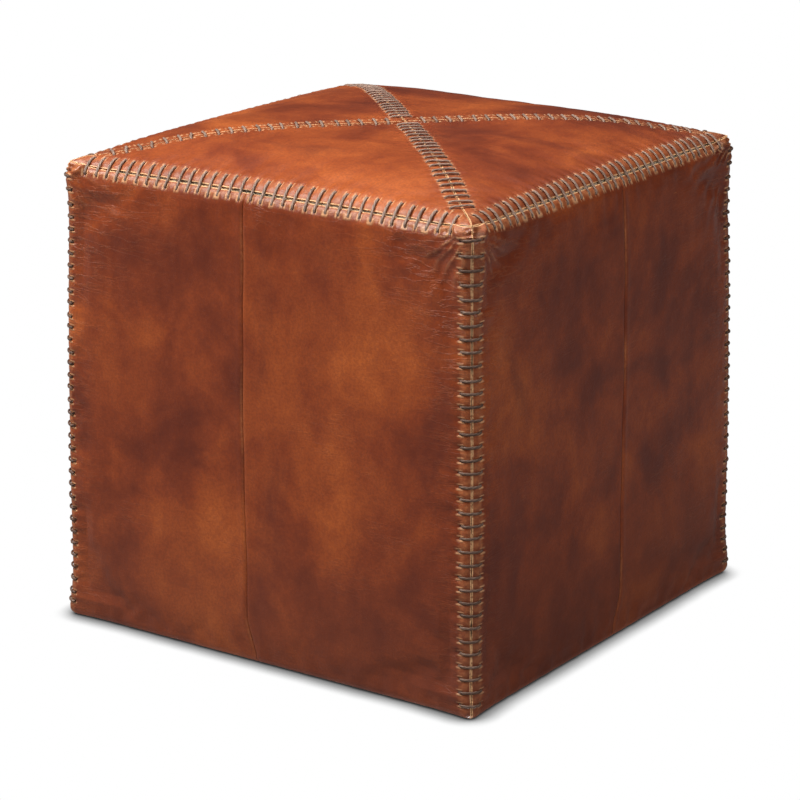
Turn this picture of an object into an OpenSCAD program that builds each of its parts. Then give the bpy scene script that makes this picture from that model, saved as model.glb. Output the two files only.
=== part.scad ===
// Square leather pouf: a stuffed leather cube with hand-laced edges, a domed top
// made of four triangles, and a zip fastener set into the base.
// The origin is the middle of the footprint on the floor, Z is up, and the front faces -Y.

/* [Overall size] */
// Width of the body at the floor
base_w = 460; // [420:1:500]
// Width of the body at the laced top edge
top_w = 446; // [410:1:500]
// Height of the laced top edge at its corners
edge_h = 437; // [360:1:480]
// Rise of the crown's middle above the laced top edge
crown_rise = 29; // [20:1:36]
// Fullness of the crown: a higher value gives a flatter middle and rounder shoulders
crown_power = 4; // [2:0.5:5]
// Outward bulge of each side at mid height
side_bulge = 2; // [0:0.5:4]

/* [Leather cover] */
// Thickness of the leather
leather_t = 2; // [1.6:0.1:2.2]
// Radius of the four upright edges
corner_r = 10; // [9:0.5:12]
// Radius of the edge between a side and the top
brow_r = 18; // [15:0.5:20]
// Radius of the edge at the floor
foot_r = 8; // [6:0.5:10]
// Width of the hem turned under at the floor
hem_w = 22; // [18:1:28]
// Gap between two cut edges of leather that butt at a seam
butt_gap = 0.4; // [0.2:0.1:0.8]
// Width of the strip glued behind each mid-side seam
tape_w = 26; // [16:1:36]
// How far right of the middle each side's own seam stands: front, right, back and left
seam_shift = [-16, 18, 13, -15]; // [-30:1:30]

/* [Lacing] */
// Diameter of the waxed cord
cord_d = 2.4; // [1.6:0.1:2.8]
// Spacing of the stitches on the upright edges
upright_pitch = 11.8; // [10:0.1:16]
// Spacing of the stitches on the top edges
brow_pitch = 11.6; // [10:0.1:16]
// Spacing of the stitches on the diagonals of the crown
diagonal_pitch = 12.1; // [10:0.1:16]
// Distance from an upright edge to its lacing holes
upright_reach = 13.5; // [13:0.5:18]
// Distance below a top edge of its lower lacing holes
brow_drop = 6; // [6:0.5:10]
// Distance in from a side of the upper lacing holes
brow_reach = 15.5; // [15:0.5:20]
// Distance from a diagonal seam to its lacing holes
diagonal_reach = 10; // [8:0.5:13]
// Sideways lean of each stitch on a top edge
brow_lean = 3; // [0:0.5:6]
// Distance from an upright edge to the last stitch on a top edge
brow_start = 24; // [24:1:40]
// Distance from an upright edge to the last stitch on a diagonal
diagonal_start = 31; // [31:1:60]

/* [Zip in the base] */
// Length of the row of teeth
zip_l = 300; // [200:10:320]
// Depth of the recess that keeps the zip off the floor
zip_recess = 7; // [6:0.5:9]
// Length of the pull tab
tab_l = 22; // [14:1:26]

/* [Filling] */
// Thickness of the lining cloth
lining_t = 1; // [0.6:0.1:1.2]
// Thickness of the wadding on each side
wadding_t = 14; // [8:1:24]

/* [Hidden] */
$fn = 48;
cut = 0.01;
clear = 0.3;
top_half = top_w / 2;
base_half = base_w / 2;
cord_r = cord_d / 2;
seam_angle = 45;
gap_angle = 1.2;
brow_z = edge_h - brow_r * sin(seam_angle);
crown_h = crown_rise - brow_r * (1 - sin(seam_angle));
lining_depth = leather_t + 1.5;
pad_depth = lining_depth + lining_t + 0.5;
pad_inset = 8;
base_z = leather_t + clear;
zip_z = base_z + zip_recess;
inner_z = zip_z + leather_t + 0.7;
filling_z = inner_z + lining_t + 1;
face_names = ["front", "right", "back", "left"];
leather_tan = "#a5552b";
cord_grey = "#7d7168";
cloth_cream = "#d8ccb0";
brass = "#b08d4a";

// ---------- the outer surface, and every layer at a depth below it ----------

// Half width of the body at height z.
function half_at(z) =
    base_half + (top_half - base_half) * z / edge_h
    + side_bulge * sin(180 * min(max(z / edge_h, 0), 1));

// Height that the crown adds at a place on the top.
function crown_at(x, y) =
    let (u = min(abs(x) / top_half, 1), v = min(abs(y) / top_half, 1))
    crown_h * (1 - pow(u, crown_power)) * (1 - pow(v, crown_power));

// Height of the top's surface, at a depth, at a place inside the body's outline.
function top_z(x, y, depth) =
    let (inset = top_half - max(abs(x), abs(y)))
    let (run = max(brow_r - inset, 0), r = brow_r - depth)
    brow_z + sqrt(max(r * r - run * run, 0)) + crown_at(x, y);

// Point on one side. across runs from 0 at the side's own seam, which is at x = start,
// to 1 where the upright edge's curve starts, and to 2 at the laced seam; inset is the
// distance in from the side's plane.
function side_point(across, inset, half, z, start) =
    let (reach = half - inset, r = max(corner_r - inset, 0.6), flat = reach - r)
    across <= 1
    ? [start + butt_gap / 2 + across * (flat - start - butt_gap / 2), -reach, z]
    : let (turn = (across - 1) * (seam_angle - gap_angle))
      [flat + r * sin(turn), -flat - r * cos(turn), z];

// Rows of a side, as [kind, value]: the hem, the foot's curve, the wall and the brow's curve.
side_rows = concat(
    [["hem", hem_w], ["foot", -90], ["foot", -60], ["foot", -30]],
    [for (i = [0:6]) ["wall", foot_r + i / 6 * (brow_z - foot_r)]],
    [["brow", 15], ["brow", 30], ["brow", seam_angle - gap_angle]]
);

function side_row_point(row, across, depth, start) =
    let (kind = row[0], v = row[1])
    kind == "hem" ? side_point(across, v, base_half, depth, start)
    : kind == "foot"
    ? side_point(across, foot_r - (foot_r - depth) * cos(v), half_at(foot_r),
                 foot_r + (foot_r - depth) * sin(v), start)
    : kind == "wall" ? side_point(across, depth, half_at(v), v, start)
    : side_point(across, brow_r - (brow_r - depth) * cos(v), half_at(brow_z),
                 brow_z + (brow_r - depth) * sin(v), start);

// ---------- thin sheets built from an outer and an inner grid of points ----------

function turned(grid, angle) =
    [for (row = grid) [for (p = row)
        [p.x * cos(angle) - p.y * sin(angle), p.x * sin(angle) + p.y * cos(angle), p.z]]];

function mirrored(grid) =
    [for (row = grid) [for (i = [len(row) - 1:-1:0]) [-row[i].x, row[i].y, row[i].z]]];

// Closed solid between two grids of the same size. The outer grid is seen with its
// columns running right and its rows running up.
module sheet(outer, inner, wraps = false) {
    rows = len(outer);
    cols = len(outer[0]);
    count = rows * cols;
    last = wraps ? cols - 1 : cols - 2;
    skin = [for (r = [0:rows - 2], c = [0:last])
        let (d = (c + 1) % cols)
        let (a = r * cols + c, b = r * cols + d, e = (r + 1) * cols + d, f = (r + 1) * cols + c)
        each [[a, e, b], [a, f, e],
              [count + a, count + b, count + e], [count + a, count + e, count + f]]];
    low_high = [for (c = [0:last])
        let (d = (c + 1) % cols, top = (rows - 1) * cols)
        each [[c, d, count + d], [c, count + d, count + c],
              [top + c, count + top + d, top + d], [top + c, count + top + c, count + top + d]]];
    ends = [for (r = [0:rows - 2])
        let (a = r * cols, b = a + cols, g = a + cols - 1, h = g + cols)
        each [[a, count + a, count + b], [a, count + b, b],
              [g, count + h, count + g], [g, h, count + h]]];
    points = [for (grid = [outer, inner]) for (row = grid) each row];
    polyhedron(points, wraps ? concat(skin, low_high) : concat(skin, low_high, ends), 10);
}

// ---------- leather ----------

side_columns = [0, 0.5, 1, 1.34, 1.67, 2];

module side_panel(face, right_half) {
    start = right_half ? seam_shift[face] : -seam_shift[face];
    function grid(depth) =
        [for (row = side_rows) [for (c = side_columns) side_row_point(row, c, depth, start)]];
    outer = grid(0);
    inner = grid(leather_t);
    color(leather_tan)
        sheet(turned(right_half ? outer : mirrored(outer), 90 * face),
              turned(right_half ? inner : mirrored(inner), 90 * face));
}

top_rows = concat(
    [for (a = [seam_angle + gap_angle, 60, 75, 90]) brow_r * (1 - cos(a))],
    [for (i = [1:7]) brow_r + (top_half - brow_r - 1) * i / 7]
);
top_columns = [for (i = [-4:4]) i / 4];

function top_row_point(inset, c, depth) =
    let (r = brow_r - depth, turn = acos(max(1 - inset / brow_r, 0)))
    let (edge = inset < brow_r ? brow_r - r * cos(turn) : inset)
    let (reach = top_half - edge, x = c * (reach - 0.7 * butt_gap))
    [x, -reach, (inset < brow_r ? brow_z + r * sin(turn) : brow_z + r) + crown_at(x, reach)];

module top_panel(face) {
    outer = [for (i = top_rows) [for (c = top_columns) top_row_point(i, c, 0)]];
    inner = [for (i = top_rows) [for (c = top_columns) top_row_point(i, c, leather_t)]];
    color(leather_tan) sheet(turned(outer, 90 * face), turned(inner, 90 * face));
}

// Smooth step from 1 inside near to 0 outside far.
function fade(v, near, far) =
    let (t = min(max((abs(v) - near) / (far - near), 0), 1)) 1 - t * t * (3 - 2 * t);

opening_half = 6;
dish_flat = [zip_l / 2 + 26, 22];
dish_end = [zip_l / 2 + 56, 62];
base_reach = base_half - foot_r - 3;

function base_panel_z(x, y) =
    base_z + zip_recess * fade(x, dish_flat.x, dish_end.x) * fade(y, dish_flat.y, dish_end.y);

module base_panel(face) {
    xs = concat(
        [-base_reach],
        [for (i = [0:6]) -dish_end.x + i * 5],
        [for (i = [1:3]) -dish_flat.x + i * dish_flat.x / 2],
        [for (i = [0:6]) dish_flat.x + i * 5],
        [base_reach]
    );
    ys = concat([base_reach], [for (i = [0:8]) dish_end.y - i * 5], [0]);
    function grid(lift) =
        [for (y = ys) [for (x = xs)
            let (edge = abs(x) > dish_flat.x + 1 ? butt_gap / 2 : opening_half)
            [x, -max(y, edge), base_panel_z(x, y) + lift]]];
    lower = grid(0);
    upper = grid(leather_t);
    color(leather_tan) sheet(turned(upper, 90 * face), turned(lower, 90 * face));
}

module seam_tape(face) {
    zs = [for (i = [0:6]) foot_r + 12 + i / 6 * (brow_z - foot_r - 24)];
    function tape_row(z, depth) =
        [for (x = [-tape_w / 2, tape_w / 2]) [seam_shift[face] + x, depth - half_at(z), z]];
    outer = [for (z = zs) tape_row(z, leather_t + clear)];
    inner = [for (z = zs) tape_row(z, leather_t + clear + 0.8)];
    color(cloth_cream) sheet(turned(outer, 90 * face), turned(inner, 90 * face));
}

// ---------- lacing: each stitch is an arc of cord from hole to hole ----------

function unit(v) = v / norm(v);

function arc_centre(a, m, b) =
    let (u = m - a, v = b - a, n = cross(u, v))
    a + ((v * v) * cross(n, u) + (u * u) * cross(v, n)) / (2 * (n * n));

// Arc of cord through a, m and b, with both ends carried on by tuck degrees.
module stitch(a, m, b, tuck) {
    centre = arc_centre(a, m, b);
    ex = unit(m - centre);
    ez = unit(cross(m - a, b - a));
    ey = cross(ez, ex);
    half_turn = max(acos(unit(a - centre) * ex), acos(unit(b - centre) * ex)) + tuck;
    multmatrix([[ex.x, ey.x, ez.x, centre.x],
                [ex.y, ey.y, ez.y, centre.y],
                [ex.z, ey.z, ez.z, centre.z],
                [0, 0, 0, 1]])
        rotate([0, 0, -half_turn])
            rotate_extrude(angle = 2 * half_turn)
                translate([norm(a - centre), 0])
                    circle(r = cord_r);
}

// Places spread evenly from low to high, as near as they come to a pitch.
function spread(low, high, pitch) =
    let (n = round((high - low) / pitch)) [for (i = [0:n]) low + (high - low) * i / n];

module lacing_upright(corner) {
    over = corner_r * (1 - 1 / sqrt(2)) - 0.6 * cord_r;
    color(cord_grey) rotate([0, 0, 90 * corner])
        for (z = spread(foot_r + 6, edge_h - 12, upright_pitch)) {
            s = half_at(z);
            stitch([s - upright_reach, -s, z], [s - over, over - s, z],
                   [s, upright_reach - s, z], 22);
        }
}

module lacing_top_edge(face) {
    half = half_at(brow_z);
    seam = half - brow_r * (1 - cos(seam_angle));
    color(cord_grey) rotate([0, 0, 90 * face])
        for (x = spread(brow_start - half, half - brow_start, brow_pitch)) {
            y_top = half - brow_reach;
            z_seam = edge_h + crown_at(x, seam);
            stitch([x - brow_lean / 2, -half, z_seam - brow_drop],
                   [x, -seam - 0.7 * cord_r, z_seam + 0.7 * cord_r],
                   [x + brow_lean / 2, -y_top, top_z(x, y_top, 0)], 14);
        }
}

module lacing_diagonal(corner) {
    q = diagonal_reach / sqrt(2);
    color(cord_grey) rotate([0, 0, 90 * corner])
        for (d = spread(diagonal_reach + 2, top_half - diagonal_start, diagonal_pitch / sqrt(2))) {
            stitch([d - q, -d - q, top_z(d - q, d + q, 0)],
                   [d, -d, top_z(d, d, 0) + 1.3 * cord_r],
                   [d + q, q - d, top_z(d + q, d - q, 0)], 8);
        }
}

// ---------- lining and filling ----------

// Grid of points over a square of the top, at a depth below its surface.
function square_grid(half, steps, depth) =
    [for (j = [0:steps]) [for (i = [0:steps])
        let (x = half * (2 * i / steps - 1), y = half * (2 * j / steps - 1))
        [x, y, top_z(x, y, depth)]]];

module lining_wall() {
    function ring(z, half, depth) =
        [for (k = [0:3]) for (a = [-45, -15, 15])
            let (r = corner_r - depth, c = half - corner_r, turn = 90 * k - 45 + a)
            let (x = c * (k == 0 || k == 1 ? 1 : -1), y = c * (k == 0 || k == 3 ? -1 : 1))
            each (a == 15
                ? [[x + r * cos(turn), y + r * sin(turn), z],
                   [x + r * cos(turn + 30), y + r * sin(turn + 30), z]]
                : [[x + r * cos(turn), y + r * sin(turn), z]])];
    zs = [for (i = [0:6]) inner_z + i / 6 * (brow_z - inner_z)];
    color(cloth_cream)
        sheet([for (z = zs) ring(z, half_at(z), lining_depth)],
              [for (z = zs) ring(z, half_at(z), lining_depth + lining_t)], wraps = true);
}

module lining_top() {
    half = top_half - 7.5;
    color(cloth_cream)
        sheet(square_grid(half, 14, lining_depth), square_grid(half, 14, lining_depth + lining_t));
}

module lining_base() {
    color(cloth_cream)
        translate([0, 0, inner_z + lining_t / 2])
            cube([base_w - 16, base_w - 16, lining_t], center = true);
}

module foam_core() {
    low = half_at(filling_z) - pad_depth - wadding_t - 2 * clear;
    high = half_at(brow_z) - pad_depth - wadding_t - 2 * clear;
    function square_at(half, z) = [[-half, -half, z], [half, -half, z], [half, half, z], [-half, half, z]];
    color("#e9e2c8") polyhedron(
        concat(square_at(low, filling_z), square_at(high, brow_z)),
        [[0, 1, 2, 3], [7, 6, 5, 4], [0, 4, 5, 1], [1, 5, 6, 2], [2, 6, 7, 3], [3, 7, 4, 0]], 10);
}

module crown_pad() {
    half = top_half - pad_inset;
    upper = square_grid(half, 14, pad_depth);
    lower = [for (row = upper) [for (p = row) [p.x, p.y, brow_z + clear]]];
    color("#efe9dc") sheet(upper, lower);
}

// Front and back slabs run the full width, and the other two fit between them.
module wadding(face, shorten) {
    function row_at(z, depth, end) =
        [for (side = [-1, 1]) [side * (half_at(z) - end), depth - half_at(z), z]];
    zs = [for (i = [0:6]) filling_z + i / 6 * (brow_z - filling_z)];
    end = shorten ? pad_depth + wadding_t + clear : corner_r + 2;
    color("#efe9dc")
        sheet(turned([for (z = zs) row_at(z, pad_depth, end)], 90 * face),
              turned([for (z = zs) row_at(z, pad_depth + wadding_t, end)], 90 * face));
}

// ---------- zip fastener, along X under the base ----------

tape_t = 0.6;
tape_z = zip_z - 0.4 - tape_t;
zip_mid_z = tape_z + tape_t / 2;
tooth = [1.5, 2.6, 1.8];
tooth_pitch = 3;
chain_gap = 1.2;
tape_edge = chain_gap / 2 + 1.2;
slider_l = 12;
slider_half = 5;
plate_t = 0.8;
plate_low = zip_mid_z - tooth.z / 2 - clear - plate_t;
plate_high = zip_mid_z + tooth.z / 2 + clear;
slider_x = zip_l / 2 - slider_l / 2 - 1;
pin_r = 0.6;
pin_z = plate_low - 0.4 - pin_r;
bridge_t = 1;

module zip_tape(side) {
    color("#3b2a22")
        translate([-zip_l / 2 - 8, side > 0 ? tape_edge : -18, tape_z])
            cube([zip_l + 16, 18 - tape_edge, tape_t]);
}

module zip_teeth(side) {
    shift = side > 0 ? tooth_pitch / 2 : 0;
    y = side > 0 ? chain_gap / 2 : -chain_gap / 2 - tooth.y;
    color(brass)
        for (x = [-zip_l / 2:tooth_pitch:zip_l / 2 - tooth_pitch])
            translate([x + shift, y, zip_mid_z - tooth.z / 2])
                cube(tooth);
}

module zip_stops() {
    stop = [3, 2.8, 2.4];
    color(brass) {
        for (side = [-1, 1])
            translate([zip_l / 2 + 2, side * (chain_gap / 2 + stop.y / 2), zip_mid_z])
                cube(stop, center = true);
        translate([-zip_l / 2 - 3, 0, zip_mid_z])
            cube([4, 2 * tape_edge + 2.4, 2.4], center = true);
    }
}

module zip_stitching() {
    dash = 3;
    pitch = 5;
    color("#5a3a26")
        for (y = [-14, 14], x = [-zip_l / 2:pitch:zip_l / 2])
            translate([x, y, tape_z - 0.1])
                rotate([0, 90, 0])
                    cylinder(d = 0.7, h = dash, center = true);
}

module zip_slider() {
    plate = [slider_l, 2 * slider_half, plate_t];
    flange_low = zip_mid_z - tape_t / 2 - clear - plate_low;
    flange_high = plate_high + plate_t - (zip_mid_z + tape_t / 2 + clear);
    color(brass) translate([slider_x, 0, 0]) {
        translate([-slider_l / 2, -slider_half, plate_low]) cube(plate);
        translate([-slider_l / 2, -slider_half, plate_high]) cube(plate);
        for (y = [-slider_half, slider_half - 0.8]) {
            translate([-slider_l / 2, y, plate_low]) cube([slider_l, 0.8, flange_low]);
            translate([-slider_l / 2, y, plate_high + plate_t - flange_high])
                cube([slider_l, 0.8, flange_high]);
        }
        // The divider stands in the gap between the two rows of teeth.
        translate([slider_l / 2 - 3, -0.3, plate_low])
            cube([3, 0.6, plate_high + plate_t - plate_low]);
        // The bridge that carries the pull tab.
        translate([-4.2, -0.7, pin_z - pin_r - 0.4 - bridge_t])
            cube([8.4, 1.4, bridge_t]);
        for (x = [-4.2, 3.2])
            translate([x, -0.7, pin_z - pin_r - 0.4 - bridge_t])
                cube([1, 1.4, plate_low + cut - (pin_z - pin_r - 0.4 - bridge_t)]);
    }
}

// The tab lies back over the chain, and its pin turns in the slider's bridge.
module zip_pull_tab() {
    arm_l = 8;
    tab_half = 4;
    color(brass) translate([slider_x, 0, pin_z]) {
        rotate([90, 0, 0]) cylinder(r = pin_r, h = 6.4, center = true);
        for (y = [-3.2, 2])
            translate([-arm_l, y, -pin_r]) cube([arm_l, 1.2, 2 * pin_r]);
        difference() {
            union() {
                translate([-tab_l, -tab_half, -pin_r])
                    cube([tab_l - arm_l + 0.6, 2 * tab_half, 2 * pin_r]);
                translate([-tab_l, 0, -pin_r]) cylinder(r = tab_half, h = 2 * pin_r);
            }
            translate([-tab_l, 0, -1]) cylinder(r = 1.6, h = 2);
        }
    }
}

// ---------- what is drawn ----------

for (k = [0:3]) {
    top_panel(k);
    seam_tape(k);
    lacing_top_edge(k);
    wadding(k, k % 2 == 1);
}
side_panel(0, false);  // side_panel_front_left
side_panel(0, true);  // side_panel_front_right
side_panel(1, false);  // side_panel_right_front
side_panel(1, true);  // side_panel_right_back
side_panel(2, false);  // side_panel_back_right
side_panel(2, true);  // side_panel_back_left
side_panel(3, false);  // side_panel_left_back
side_panel(3, true);  // side_panel_left_front
base_panel(0);  // base_panel_front
base_panel(2);  // base_panel_back
lacing_upright(0);  // lacing_upright_front_right
lacing_upright(1);  // lacing_upright_back_right
lacing_upright(2);  // lacing_upright_back_left
lacing_upright(3);  // lacing_upright_front_left
lacing_diagonal(0);  // lacing_diagonal_front_right
lacing_diagonal(1);  // lacing_diagonal_back_right
lacing_diagonal(2);  // lacing_diagonal_back_left
lacing_diagonal(3);  // lacing_diagonal_front_left
lining_wall();
lining_top();
lining_base();
foam_core();
crown_pad();
zip_tape(-1);  // zip_tape_front
zip_tape(1);  // zip_tape_back
zip_teeth(-1);  // zip_teeth_front
zip_teeth(1);  // zip_teeth_back
zip_stops();
zip_stitching();
zip_slider();
zip_pull_tab();
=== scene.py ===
"""Looks of the square leather pouf: a dense leather cover over the CAD frame, softened by a
cloth simulation, with twisted cord lacing, a brass zip under the base and a padded inside."""

import math

import bpy
import numpy as np
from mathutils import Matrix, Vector


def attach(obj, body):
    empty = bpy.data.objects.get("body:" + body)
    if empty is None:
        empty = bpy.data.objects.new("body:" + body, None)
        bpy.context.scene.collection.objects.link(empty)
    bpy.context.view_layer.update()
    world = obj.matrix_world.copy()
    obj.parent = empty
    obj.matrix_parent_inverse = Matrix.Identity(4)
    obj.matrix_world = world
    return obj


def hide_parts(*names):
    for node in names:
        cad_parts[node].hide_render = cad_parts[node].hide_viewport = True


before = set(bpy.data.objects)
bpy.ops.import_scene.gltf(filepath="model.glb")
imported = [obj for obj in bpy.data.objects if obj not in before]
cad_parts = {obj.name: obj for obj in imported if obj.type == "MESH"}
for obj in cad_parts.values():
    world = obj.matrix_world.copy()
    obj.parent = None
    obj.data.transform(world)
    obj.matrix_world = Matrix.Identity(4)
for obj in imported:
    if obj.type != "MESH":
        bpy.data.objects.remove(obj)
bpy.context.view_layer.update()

# ---------------------------------------------------------------- driving sizes, in metres
MM = 0.001
BASE_HALF = 230 * MM
TOP_HALF = 223 * MM
EDGE_H = 437 * MM
CROWN_RISE = 29 * MM
CROWN_POWER = 4
SIDE_BULGE = 2 * MM
LEATHER_T = 2 * MM
CORNER_R = 10 * MM
BROW_R = 18 * MM
FOOT_R = 8 * MM
HEM_W = 22 * MM
CORD_R = 1.2 * MM
UPRIGHT_PITCH = 11.8 * MM
BROW_PITCH = 11.6 * MM
DIAGONAL_PITCH = 12.1 * MM
UPRIGHT_REACH = 11.3 * MM
TURNED_REACH = 8 * MM
BROW_REACH_SIDE = 7.2 * MM
BROW_REACH_TOP = 11.6 * MM
BROW_START = 24 * MM
DIAGONAL_REACH = 10 * MM
DIAGONAL_START = 31 * MM

SEAM_TURN = math.radians(45)
BROW_Z = EDGE_H - BROW_R * math.sin(SEAM_TURN)
SEAM_INSET = BROW_R * (1 - math.cos(SEAM_TURN))
CROWN_H = CROWN_RISE - SEAM_INSET
HEM_L = HEM_W - FOOT_R
FOOT_L = FOOT_R * math.pi / 2
WALL_L = BROW_Z - FOOT_R
BROW_L = BROW_R * SEAM_TURN
PROFILE_L = HEM_L + FOOT_L + WALL_L + BROW_L
SEAM_SHIFT = (-16 * MM, 18 * MM, 13 * MM, -15 * MM)
FACES = ("front", "right", "back", "left")
CORNERS = ("front_right", "back_right", "back_left", "front_left")
HALF_NAMES = {
    (0, -1): "front_left",
    (0, 1): "front_right",
    (1, -1): "right_front",
    (1, 1): "right_back",
    (2, -1): "back_right",
    (2, 1): "back_left",
    (3, -1): "left_back",
    (3, 1): "left_front",
}
BODY = "pouf"


# ---------------------------------------------------------------- small helpers
def stand_in(piece, node):
    """Hides the CAD node that a piece stands in for. All of them ride the pouf."""
    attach(piece, BODY)
    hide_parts(node)


def smooth(t):
    t = np.clip(t, 0, 1)
    return t * t * (3 - 2 * t)


def bell(v, width):
    return np.exp(-((v / width) ** 2))


def turned(points, face):
    """Points of the front face's frame, turned about Z to another face."""
    a = face * math.pi / 2
    x, y, z = points[..., 0], points[..., 1], points[..., 2]
    return np.stack([x * math.cos(a) - y * math.sin(a), x * math.sin(a) + y * math.cos(a), z], -1)


class Noise:
    """Smooth value noise in space, the same each run."""

    SIZE = 64

    def __init__(self, seed):
        self.table = np.random.default_rng(seed).random((self.SIZE,) * 3) * 2 - 1

    def __call__(self, points, wavelength, stretch=(1, 1, 1)):
        p = points / (wavelength * np.array(stretch)) + 17.3
        low = np.floor(p).astype(int)
        t = smooth(p - low)
        total = np.zeros(p.shape[:-1])
        for i in (0, 1):
            for j in (0, 1):
                for k in (0, 1):
                    corner = (low + (i, j, k)) % self.SIZE
                    share = np.ones(p.shape[:-1])
                    for axis, side in enumerate((i, j, k)):
                        share = share * (t[..., axis] if side else 1 - t[..., axis])
                    total += share * self.table[corner[..., 0], corner[..., 1], corner[..., 2]]
        return total


def graded(length, fine, coarse, start_zone, end_zone, ramp=25 * MM):
    """Places from 0 to length, close together in a zone at each end."""
    places = [0.0]
    while places[-1] < length:
        here = places[-1]
        away = min(here - start_zone, length - here - end_zone)
        places.append(here + fine + (coarse - fine) * float(smooth(away / ramp)))
    return np.array(places) * (length / places[-1])


# ---------------------------------------------------------------- the body's surface
def half_at(z):
    rise = np.clip(z / EDGE_H, 0, 1)
    return BASE_HALF + (TOP_HALF - BASE_HALF) * rise + SIDE_BULGE * np.sin(np.pi * rise)


def crown_at(x, y):
    u = np.clip(np.abs(x) / TOP_HALF, 0, 1)
    v = np.clip(np.abs(y) / TOP_HALF, 0, 1)
    return CROWN_H * (1 - u**CROWN_POWER) * (1 - v**CROWN_POWER)


def side_rows(v):
    """Inset from the side's plane and height, at distances v up the profile from the hem."""
    foot = (v - HEM_L) / FOOT_R - np.pi / 2
    brow = (v - HEM_L - FOOT_L - WALL_L) / BROW_R
    parts = [v < HEM_L, v < HEM_L + FOOT_L, v < HEM_L + FOOT_L + WALL_L]
    inset = np.select(
        parts,
        [HEM_W - v, FOOT_R * (1 - np.cos(foot)), np.zeros_like(v)],
        BROW_R * (1 - np.cos(brow)),
    )
    z = np.select(
        parts,
        [np.zeros_like(v), FOOT_R * (1 + np.sin(foot)), v - HEM_L - FOOT_L + FOOT_R],
        BROW_Z + BROW_R * np.sin(brow),
    )
    return inset, z


def side_widths(v):
    """Half the flat width of a side, its edge's radius and its half width along the leather."""
    inset, z = side_rows(v)
    radius = np.maximum(CORNER_R - inset, 0.6 * MM)
    flat = half_at(np.clip(z, FOOT_R, BROW_Z)) - inset - radius
    return flat, radius, flat + radius * SEAM_TURN


def mid_seam(v, face, hand):
    """Where a side's own seam runs at distances v up the profile, towards the half's corner. It
    wanders a little, and bends back to the middle near the floor."""
    shift = SEAM_SHIFT[face]
    wander = 0.9 * MM * np.sin(v * 21 + face) + 0.35 * MM * np.sin(v * 67 + 2 * face)
    lean = 0.2 * (0.5 - v / PROFILE_L)
    bend = 0.55 * (1 - smooth((v - HEM_L) / (52 * MM)))
    return hand * (shift * (1 - lean - bend) + wander)


def side_surface(v, share, face, hand):
    """Grid of points on one half of the front side, as its right half. Also each one's distance
    from the upright seam, from mid side and from the side's own seam, where share is 0."""
    z = side_rows(v)[1]
    flat, r, whole = (a[:, None] for a in side_widths(v))
    start = mid_seam(v, face, hand)[:, None]
    u = start + (whole - start) * share[None, :]
    turn = np.maximum(u - flat, 0) / r
    x = np.minimum(u, flat) + r * np.sin(turn)
    y = -flat - r * np.cos(turn)
    return np.stack([x, y, np.broadcast_to(z[:, None], x.shape)], -1), whole - u, u, u - start


TOP_SWELL = 4.5 * MM
FOOT_SWELL = 4 * MM
TOP_SWELL_SPAN = 22 * MM
FOOT_SWELL_SPAN = 24 * MM


def corner_swell(points):
    """How far the stuffed corners push out, at the top and at the floor."""
    move = np.zeros_like(points)
    for k in range(4):
        out = turned(np.array([1.0, -1.0, 0.0]), k) / math.sqrt(2)
        top = turned(np.array([TOP_HALF, -TOP_HALF, EDGE_H - 3 * MM]), k)
        foot = turned(np.array([BASE_HALF, -BASE_HALF, 3 * MM]), k)
        near_top = bell(np.linalg.norm(points - top, axis=-1), TOP_SWELL_SPAN)[..., None]
        near_foot = bell(np.linalg.norm(points - foot, axis=-1), FOOT_SWELL_SPAN)[..., None]
        move += near_top * (TOP_SWELL * out + np.array([0, 0, 4 * MM])) + near_foot * FOOT_SWELL * out
    return move


def top_rows(w):
    """Inset from the top's plan edge and height, at distances w in from the top edge's seam."""
    turn = np.minimum(SEAM_TURN + w / BROW_R, np.pi / 2)
    inset = np.where(w < BROW_L, BROW_R * (1 - np.cos(turn)), BROW_R + w - BROW_L)
    return inset, np.where(w < BROW_L, BROW_Z + BROW_R * np.sin(turn), BROW_Z + BROW_R)


def top_surface(w, across):
    """Grid of points on the front triangle of the top, at distances w in from its seam."""
    inset, rise = top_rows(w)
    reach = (TOP_HALF - inset)[:, None]
    x = reach * across[None, :]
    y = np.broadcast_to(-reach, x.shape)
    return np.stack([x, y, rise[:, None] + crown_at(x, y)], -1), reach


def grid_normals(points):
    n = np.cross(np.gradient(points, axis=1), np.gradient(points, axis=0))
    n /= np.maximum(np.linalg.norm(n, axis=-1, keepdims=True), 1e-12)
    middle = np.array([0, 0, EDGE_H / 2])
    return n * (1 if np.sum(n * (points - middle)) > 0 else -1)


# ---------------------------------------------------------------- lacing: where its holes are
HOLE_STRAY_ALONG = 0.35 * MM
HOLE_STRAY_BESIDE = 0.45 * MM
HOLE_STRAY_REACH = 0.5 * MM
LIP_SPAN = 6 * MM


class Lacing:
    """One run of whip stitches across a seam. Each hole is a little out of place, as by hand."""

    def __init__(self, low, high, pitch, seed):
        count = round((high - low) / pitch)
        self.pitch = (high - low) / count
        random = np.random.default_rng(seed)
        even = low + self.pitch * np.arange(count + 1)
        self.along = even + random.normal(0, HOLE_STRAY_ALONG, count + 1)
        self.lean = random.normal(0, HOLE_STRAY_BESIDE, (2, count + 1))
        self.stray = random.normal(0, HOLE_STRAY_REACH, (2, count + 1))
        self.pull = random.uniform(0.6, 1.35, count + 1)

    def nearest(self, s, side):
        """Distance along the seam to the nearest stitch on one side, and which stitch it is."""
        places = self.along + self.lean[side]
        after = np.clip(np.searchsorted(places, s), 1, len(places) - 1)
        which = np.where(s - places[after - 1] < places[after] - s, after - 1, after)
        return s - places[which], which


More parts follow.
